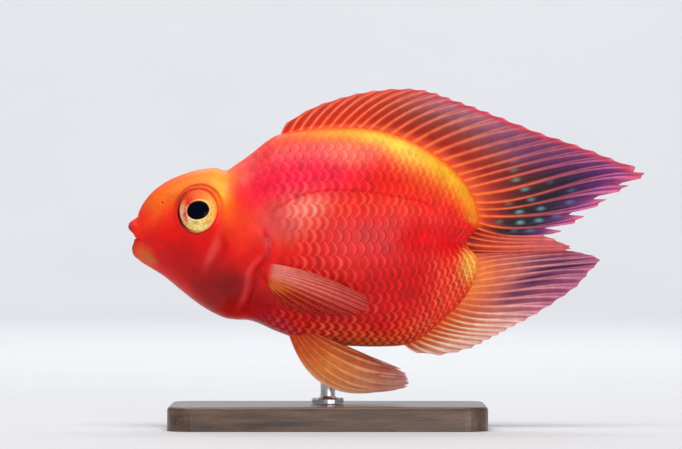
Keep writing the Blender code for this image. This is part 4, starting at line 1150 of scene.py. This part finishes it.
def fin_blade(rays, per_gap, roots_at, tips, bows, notch):
    """A fin in the side view: places across it and along its rays, how much of a ray shows, its points."""
    share, off = fin_share(rays, per_gap)
    t = np.linspace(0.0, 1.0, FIN_ROWS)
    root = roots_at(share)
    tip = smooth_rows(tips[:, 0], tips[:, 1:], share)
    gap = np.abs(off) * 2
    depth = np.interp(share, *notch)
    forked = smooth_step(0.46, 0.80, gap) + 0.16 * (1 - smooth_step(0.05, 0.34, gap))
    shape = np.where(depth > 3.0, forked, np.sin(gap * math.pi / 2) ** 1.5)
    tip = tip + (depth * shape)[:, None] * unit(root - tip)
    along = tip - root
    upward = np.stack((-along[:, 1], along[:, 0]), axis=-1)
    bow = smooth_rows(bows[:, 0], bows[:, 1:], share)
    first = root + along / 3 + bow[:, :1] * upward
    second = root + along * 2 / 3 + bow[:, 1:] * upward
    k = t[None, :, None]
    blade = root[:, None] * (1 - k) ** 3 + first[:, None] * 3 * k * (1 - k) ** 2
    blade = blade + second[:, None] * 3 * k**2 * (1 - k) + tip[:, None] * k**3
    return share, t, ray_profile(off, t), blade


def fin_thickness(profile, t, root_half):
    ray = blend(RAY_HALF, RAY_TIP_HALF, t**0.7)
    return blend(root_half, blend(WEB_HALF, ray, profile), smooth_step(0.0, ROOT_FADE, t))


def make_fin(name, rays, blade, y, across, half, look, material):
    """Both faces of a fin and its rim, as one closed mesh. y is how far aside each of its points lies."""
    share, t, profile, side = blade
    columns, rows = half.shape
    middle = np.stack((side[..., 0], y, side[..., 1]), axis=-1)
    points = np.stack([middle + across * reach[..., None] for reach in (-half, half)])
    c, r = np.meshgrid(np.linspace(0, 1, columns), np.linspace(0, 1, rows), indexing="ij")
    uv = np.stack((0.01 + 0.98 * c, 0.01 + 0.48 * r), axis=-1)
    uv = np.stack((uv, uv + (0.0, 0.5)))
    colour, cover = look(*np.broadcast_arrays(share[:, None], t), profile, side)
    strand = np.broadcast_to((share * (rays - 1))[:, None], half.shape)
    values = {"cover": np.stack((cover, cover)), "strand": np.stack((strand, strand))}
    paint = wet_paint(np.stack((colour, colour)))
    piece = make_piece(name, points, [sheet_faces(columns, rows)], material, paint, values, uv)
    turn_out(piece)
    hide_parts(name)
    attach(piece, "root")


def turn_out(piece):
    """Turns a closed mesh's faces outwards."""
    bm = bmesh.new()
    bm.from_mesh(piece.data)
    if bm.calc_volume(signed=True) < 0:
        bmesh.ops.reverse_faces(bm, faces=bm.faces)
        bm.to_mesh(piece.data)
    bm.free()


def shades(at, *stops):
    """Colours between stops, each one a place, red, green and blue."""
    stops = np.array(stops, float)
    return np.stack([np.interp(at, stops[:, 0], stops[:, i]) for i in (1, 2, 3)], axis=-1)


# Blue-green spots on the dorsal fin's web: x, z, strength
DORSAL_SPOTS = (
    (132.2, 19.8, 0.8), (135.2, 16.6, 0.9), (137.4, 13.1, 0.8), (133.3, 8.9, 1.0), (140.6, 10.0, 0.9),
    (133.6, 5.3, 1.0), (139.8, 6.0, 1.0), (131.3, 23.2, 0.5), (129.8, 11.8, 0.5), (126.4, 5.5, 0.5),
    (131.5, 2.6, 0.5), (136.9, 2.6, 0.6), (145.9, 7.6, 0.5), (150.4, 12.2, 0.5), (151.0, 16.2, 0.45),
    (143.8, 19.1, 0.35), (131.7, 26.4, 0.3),
)
SPOT_HALF_SIZE, SPOT_TILT, SPOT_POWER = (1.6, 0.8), 9.0, 1.4


def lined(profile, web, ray, breadth=1.0):
    """The web's colour with the rays' over it, which spread wider where breadth is over 1."""
    return mix(web, ray, np.clip(profile * 1.1, 0, 1) ** (1 / breadth))


def dorsal_look(s, k, profile, side):
    rear = smooth_step(0.66, 0.88, s)
    middle = smooth_step(0.20, 0.46, s)
    mauve = smooth_step(0.5, 0.68, s) * smooth_step(0.3, 0.7, k)
    ray = shades(k, (0.0, 255, 132, 60), (0.2, 252, 120, 70), (0.5, 246, 124, 86), (1.0, 230, 98, 84))
    web = shades(k, (0.0, 240, 86, 36), (0.15, 214, 52, 20), (0.5, 192, 54, 26), (1.0, 200, 68, 52))
    middle_ray = shades(
        k, (0.0, 255, 124, 56), (0.25, 236, 106, 74), (0.6, 224, 132, 114), (0.85, 212, 128, 130),
        (1.0, 220, 100, 122),
    )
    middle_web = shades(
        k, (0.0, 232, 84, 38), (0.2, 160, 48, 30), (0.5, 144, 76, 70), (0.8, 158, 108, 124),
        (1.0, 188, 96, 122),
    )
    rear_ray = shades(
        k, (0.0, 255, 128, 58), (0.25, 240, 104, 70), (0.55, 156, 74, 90), (0.85, 206, 108, 156),
        (1.0, 228, 116, 146),
    )
    rear_web = shades(
        k, (0.0, 236, 92, 42), (0.14, 160, 50, 32), (0.3, 44, 20, 24), (0.55, 16, 16, 48),
        (0.85, 88, 48, 110), (1.0, 150, 66, 112),
    )
    web = lay(web, (mix(middle_web, (116, 68, 106), mauve), middle), (rear_web, rear))
    ray = lay(ray, (mix(middle_ray, (166, 88, 114), 0.75 * mauve), middle), (rear_ray, rear))
    top = 1 - smooth_step(0.84, 0.88, s)
    margin = smooth_step(0.88, 0.97, k) * top * smooth_step(0.3, 0.5, s) * (1 - 0.4 * rear)
    spots = np.zeros(s.shape)
    for x, z, strength in DORSAL_SPOTS:
        spot = patch(side[..., 0], side[..., 1], (x, z), SPOT_HALF_SIZE, SPOT_TILT, SPOT_POWER)
        spots = np.maximum(spots, strength * spot)
    colour = lay(
        lined(profile, web, ray, 1.35 - 0.45 * rear),
        ((220, 66, 92), 0.75 * margin),
        ((216, 130, 134), 0.5 * smooth_step(0.96, 0.985, k) * top),
        ((106, 176, 166), 0.9 * spots * (1 - smooth_step(0.3, 0.75, profile))),
    )
    return colour, 1 - (0.02 + 0.02 * middle + 0.02 * rear) * (1 - profile) * smooth_step(0.08, 0.4, k)


# Dark streaks on the anal fin's web: share, place along the ray, their half sizes, strength
ANAL_STREAKS = (
    (0.765, 0.72, 0.030, 0.24, 0.95), (0.700, 0.58, 0.028, 0.20, 0.90), (0.640, 0.50, 0.025, 0.18, 0.60),
    (0.840, 0.62, 0.030, 0.24, 0.55), (0.590, 0.52, 0.025, 0.16, 0.40),
)


def anal_look(s, k, profile, side):
    upper = smooth_step(0.36, 0.62, s)
    ray = shades(k, (0.0, 255, 126, 62), (0.2, 255, 206, 146), (0.5, 255, 244, 222), (1.0, 255, 216, 204))
    web = shades(k, (0.0, 230, 74, 38), (0.25, 200, 86, 54), (0.6, 240, 152, 114), (1.0, 230, 152, 138))
    upper_ray = shades(
        k, (0.0, 252, 132, 72), (0.25, 240, 142, 112), (0.6, 232, 156, 152), (1.0, 190, 112, 142)
    )
    upper_web = shades(
        k, (0.0, 236, 98, 44), (0.2, 208, 104, 78), (0.45, 172, 100, 106), (0.7, 138, 74, 100),
        (1.0, 128, 70, 108),
    )
    ray, web = mix(ray, upper_ray, upper), mix(web, upper_web, upper)
    for place, reach, half, length, strength in ANAL_STREAKS:
        streak = strength * patch(s, k, (place, reach), (half, length))
        web = mix(web, (34, 24, 66), streak)
        ray = mix(ray, (150, 84, 112), 0.6 * streak)
    top = 0.7 * smooth_step(0.86, 0.97, s)
    colour = lay(
        lined(profile, mix(web, (200, 84, 80), top), mix(ray, (236, 122, 104), top), 2.2 - 0.8 * upper),
        ((255, 160, 84), 0.5 * patch(s, k, (0.74, 0.04), (0.22, 0.13))),
        ((232, 142, 152), (0.55 - 0.3 * upper) * smooth_step(0.96, 0.985, k)),
    )
    return colour, 1 - 0.03 * (1 - profile) * smooth_step(0.1, 0.4, k)


def stub_look(_, k, profile, side):
    ray = shades(k, (0.0, 240, 96, 50), (0.15, 250, 128, 66), (0.4, 246, 130, 98), (1.0, 232, 132, 134))
    # The web's dark red at its root is painted shade, deep in the cleft.
    web = shades(k, (0.0, 140, 22, 14), (0.15, 170, 52, 30), (0.5, 206, 88, 78), (1.0, 208, 104, 112))
    return lined(profile, web, ray, 1.3), 1 - 0.04 * (1 - profile) * smooth_step(0.2, 0.5, k)


def pectoral_look(s, k, profile, side):
    lower = smooth_step(0.45, 0.8, s)
    ray = shades(k, (0.0, 255, 136, 124), (0.2, 255, 166, 150), (0.5, 252, 150, 134), (1.0, 206, 84, 76))
    web = shades(k, (0.0, 255, 120, 106), (0.25, 252, 132, 118), (0.6, 230, 92, 80), (1.0, 190, 48, 44))
    low_ray = shades(k, (0.0, 244, 112, 64), (0.3, 234, 96, 56), (1.0, 186, 54, 42))
    low_web = shades(k, (0.0, 234, 88, 46), (0.3, 198, 56, 36), (1.0, 162, 34, 26))
    colour = lay(
        lined(profile, mix(web, low_web, lower), mix(ray, low_ray, lower)),
        ((255, 166, 150), 0.6 * bump(k, 0.12, 0.12) * (1 - lower)),
        ((255, 146, 66), 0.7 * bump(k, 0.22, 0.16) * lower),
        (flesh_colour(side[..., 0], side[..., 1]), 1 - smooth_step(0.03, 0.12, k)),
    )
    return colour, 1 - (0.20 + 0.40 * lower) * (1 - 0.7 * profile) * smooth_step(0.12, 0.5, k)


def pelvic_look(s, k, profile, side):
    ray = shades(k, (0.0, 236, 96, 52), (0.35, 255, 166, 96), (0.7, 250, 182, 138), (1.0, 226, 162, 156))
    web = shades(k, (0.0, 216, 74, 40), (0.35, 246, 142, 76), (0.7, 230, 142, 102), (1.0, 200, 124, 118))
    web = mix(web, (190, 62, 44), 0.5 * smooth_step(0.5, 0.9, s))
    edge = (1 - smooth_step(0.02, 0.12, s)) * smooth_step(0.1, 0.4, k)
    colour = mix(lined(profile, web, ray), (240, 184, 144), 0.8 * edge)
    return colour, 1 - 0.20 * (1 - 0.7 * profile) * smooth_step(0.6, 0.95, k)


def make_median_fin(name, rays, runs, tables, sway, look, material, root_half, aside=0.0):
    """An upright fin on the middle plane, or aside of it, whose root lies just inside the body's outline."""
    roots, tips, bows, notch = tables

    def roots_at(share):
        return outline_points(blend(*runs, np.interp(share, *roots)), -ROOT_SUNK)

    blade = fin_blade(rays, MEDIAN_COLUMNS, roots_at, tips, bows, notch)
    share, t, profile, _ = blade
    wave = np.sin(2 * math.pi * (1.25 * share + 0.1))[:, None] * t**1.6
    ripple = 0.20 * np.cos(2 * math.pi * share * (rays - 1))[:, None] * smooth_step(0.15, 0.6, t)
    y = aside * smooth_step(0.0, 0.2, t) + sway * wave + ripple
    make_fin(name, rays, blade, y, SIDEWAYS, fin_thickness(profile, t, root_half), look, material)


def make_pectoral_fin(name, side, material):
    """A fan whose thick root lies along the flank and whose blade leaves it at a slant."""

    def roots_at(share):
        forward = np.stack((-PECTORAL_ROOT_BOW * np.sin(math.pi * share), np.zeros_like(share)), axis=-1)
        return blend(np.array(PECTORAL_TOP), np.array(PECTORAL_BOTTOM), share[:, None]) + forward

    tables = PECTORAL_TIPS, PECTORAL_BOWS, PECTORAL_NOTCH
    blade = fin_blade(PECTORAL_RAYS, PECTORAL_COLUMNS, roots_at, *tables)
    share, t, profile, points = blade
    lobe = 0.48 * np.sin(math.pi * share)[:, None] * np.exp(-((t / 0.16) ** 2))
    half = fin_thickness(profile, t, 1.0) * PECTORAL_THINNER + lobe
    length = np.linalg.norm(points - roots_at(share)[:, None], axis=-1)
    away = PECTORAL_SPLAY * np.maximum(length - 3.0, 0.0)
    flank = half_width_at(points[..., 0], points[..., 1])
    sunk = PECTORAL_SUNK * (1 - smooth_step(0.0, 0.16, t))
    y = side * (flank + PECTORAL_GAP + half + away - sunk)
    make_fin(name, PECTORAL_RAYS, blade, y, SIDEWAYS, half, pectoral_look, material)


def make_pelvic_fin(name, side, material):
    """A fan hung under the belly beside its middle line, swept back and outwards."""
    share, _ = fin_share(PELVIC_RAYS, PELVIC_COLUMNS)
    angle = math.pi - blend(*PELVIC_ANGLES, share)
    places = place_at_x(blend(*PELVIC_X, share))
    root = body_points(places, angle)
    tangent = body_points(places, angle - 0.02) - body_points(places, angle + 0.02)
    tangent = unit(tangent * (0.0, 1.0, 1.0))
    root = root - ROOT_SUNK * np.stack((np.zeros_like(share), tangent[:, 2], -tangent[:, 1]), axis=-1)

    tables = PELVIC_TIPS, PELVIC_BOWS, PELVIC_NOTCH
    blade = fin_blade(PELVIC_RAYS, PELVIC_COLUMNS, lambda _: root[:, (0, 2)], *tables)
    _, t, profile, _ = blade
    y = side * blend(root[:, 1:2], blend(*PELVIC_TIP_Y, share)[:, None], t**0.9)
    across = unit(blend(tangent[:, None], SIDEWAYS, t[:, None] ** 0.7)) * (1.0, side, 1.0)
    half = fin_thickness(profile, t, PELVIC_ROOT_HALF)
    make_fin(name, PELVIC_RAYS, blade, y, across, half, pelvic_look, material)


# Stage, light and camera

FLOOR_GAP = 0.0002


def make_stage():
    """A pale floor that curves up into a pale backdrop."""
    half_width, near, far, height, bend = 3.2, -2.9, 2.7, 2.6, 0.8
    profile = [(near, 0.0), (far - bend, 0.0)]
    profile += [
        (far - bend + bend * math.sin(a), bend - bend * math.cos(a))
        for a in np.linspace(0.0, math.pi / 2, 24)[1:]
    ]
    profile.append((far, height))
    points = [(x, y, z - FLOOR_GAP) for x in (-half_width, half_width) for y, z in profile]
    faces = grid_quads(2, len(profile))
    paint = Paint("backdrop")
    tone = paint.ranged(paint.noise(6.0, 2.0), 0.97, 1.0)
    material = paint.surface({"Base Color": paint.times((0.68, 0.69, 0.71, 1.0), tone), "Roughness": 0.8})
    piece = make_piece("backdrop", np.array(points), [faces], material, in_row=True)


def area_light(name, place, target, size, power, colour=(1.0, 1.0, 1.0)):
    light = bpy.data.lights.new(name, "AREA")
    light.shape = "RECTANGLE"
    light.size, light.size_y = size
    light.energy = power
    light.color = colour
    item = add_object(name, light)
    item.location = place
    item.rotation_mode = "QUATERNION"
    item.rotation_quaternion = (Vector(target) - Vector(place)).to_track_quat("-Z", "Y")


def make_lights():
    middle = (0.0, 0.0, 0.07)
    area_light("key", (-0.12, -0.32, 1.15), middle, (1.1, 0.45), 9.8, (1.0, 0.98, 0.95))
    area_light("fill", (0.50, -1.35, 0.06), middle, (1.0, 0.9), 14.5, (0.98, 0.98, 1.0))
    area_light("rim", (0.10, 0.85, 0.95), middle, (0.9, 0.4), 2.5)
    area_light("shaded_socket_wall", (0.0, 1.0, 1.7), (0.0, 2.6, 0.2), (2.4, 0.4), 34.0)
    world = bpy.data.worlds.new("studio")
    bpy.context.scene.world = world
    world.use_nodes = True
    back = world.node_tree.nodes["Background"]
    back.inputs["Color"].default_value = (0.92, 0.94, 1.0, 1.0)
    back.inputs["Strength"].default_value = 0.35


# The photograph's frame is 682 pixels wide; its middle falls on this point of the fish's side view
PHOTO_MM_PER_PIXEL = 0.3409
PHOTO_WIDTH = 682
PHOTO_MIDDLE = (72.5, 4.6)
LENS, SENSOR = 250.0, 36.0


def make_camera():
    data = bpy.data.cameras.new("camera")
    data.lens = LENS
    data.sensor_width = SENSOR
    data.clip_start, data.clip_end = 0.01, 20.0
    camera = add_object("camera", data)
    width = PHOTO_WIDTH * PHOTO_MM_PER_PIXEL * MM
    x, _, z = to_row((PHOTO_MIDDLE[0], 0.0, PHOTO_MIDDLE[1]))
    camera.location = (x, -width * LENS / SENSOR, z)
    camera.rotation_euler = (math.radians(90), 0.0, 0.0)
    bpy.context.scene.camera = camera


def dress_stand():
    wood, steel = wood_material(), steel_material()
    for node, material in (("stand_base", wood), ("stand_rod", steel)):
        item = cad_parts[node]
        item.data.materials.clear()
        item.data.materials.append(material)


def main():
    skin = make_skin(skin_material())
    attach(skin, "root")
    make_scales(scale_material())
    eye = eye_material()
    fin = fin_material()
    for name, side in (("left", -1), ("right", 1)):
        make_eye("eye_" + name, side, eye)
        make_pectoral_fin("pectoral_fin_" + name, side, fin)
        make_pelvic_fin("pelvic_fin_" + name, side, fin)
    make_median_fin(
        "dorsal_fin", DORSAL_RAYS, (run_on_back(DORSAL_START_X), run_on_rear(DORSAL_END_Z)),
        (DORSAL_ROOTS, DORSAL_TIPS, DORSAL_BOWS, DORSAL_NOTCH), DORSAL_SWAY, dorsal_look, fin,
        MEDIAN_ROOT_HALF,
    )
    make_median_fin(
        "anal_fin", ANAL_RAYS, (run_on_belly(ANAL_START_X), run_on_rear(ANAL_END_Z)),
        (EVEN_ROOTS, ANAL_TIPS, ANAL_BOWS, ANAL_NOTCH), ANAL_SWAY, anal_look, fin, MEDIAN_ROOT_HALF,
    )
    make_median_fin(
        "tail_fin_stub", STUB_RAYS, (run_on_rear(STUB_START_Z), run_on_rear(STUB_END_Z)),
        (EVEN_ROOTS, STUB_TIPS, STUB_BOWS, STUB_NOTCH), 0.0, stub_look, fin, STUB_ROOT_HALF, STUB_ASIDE,
    )
    dress_stand()
    make_stage()
    make_lights()
    make_camera()
    bpy.context.scene.view_settings.view_transform = "Standard"


main()
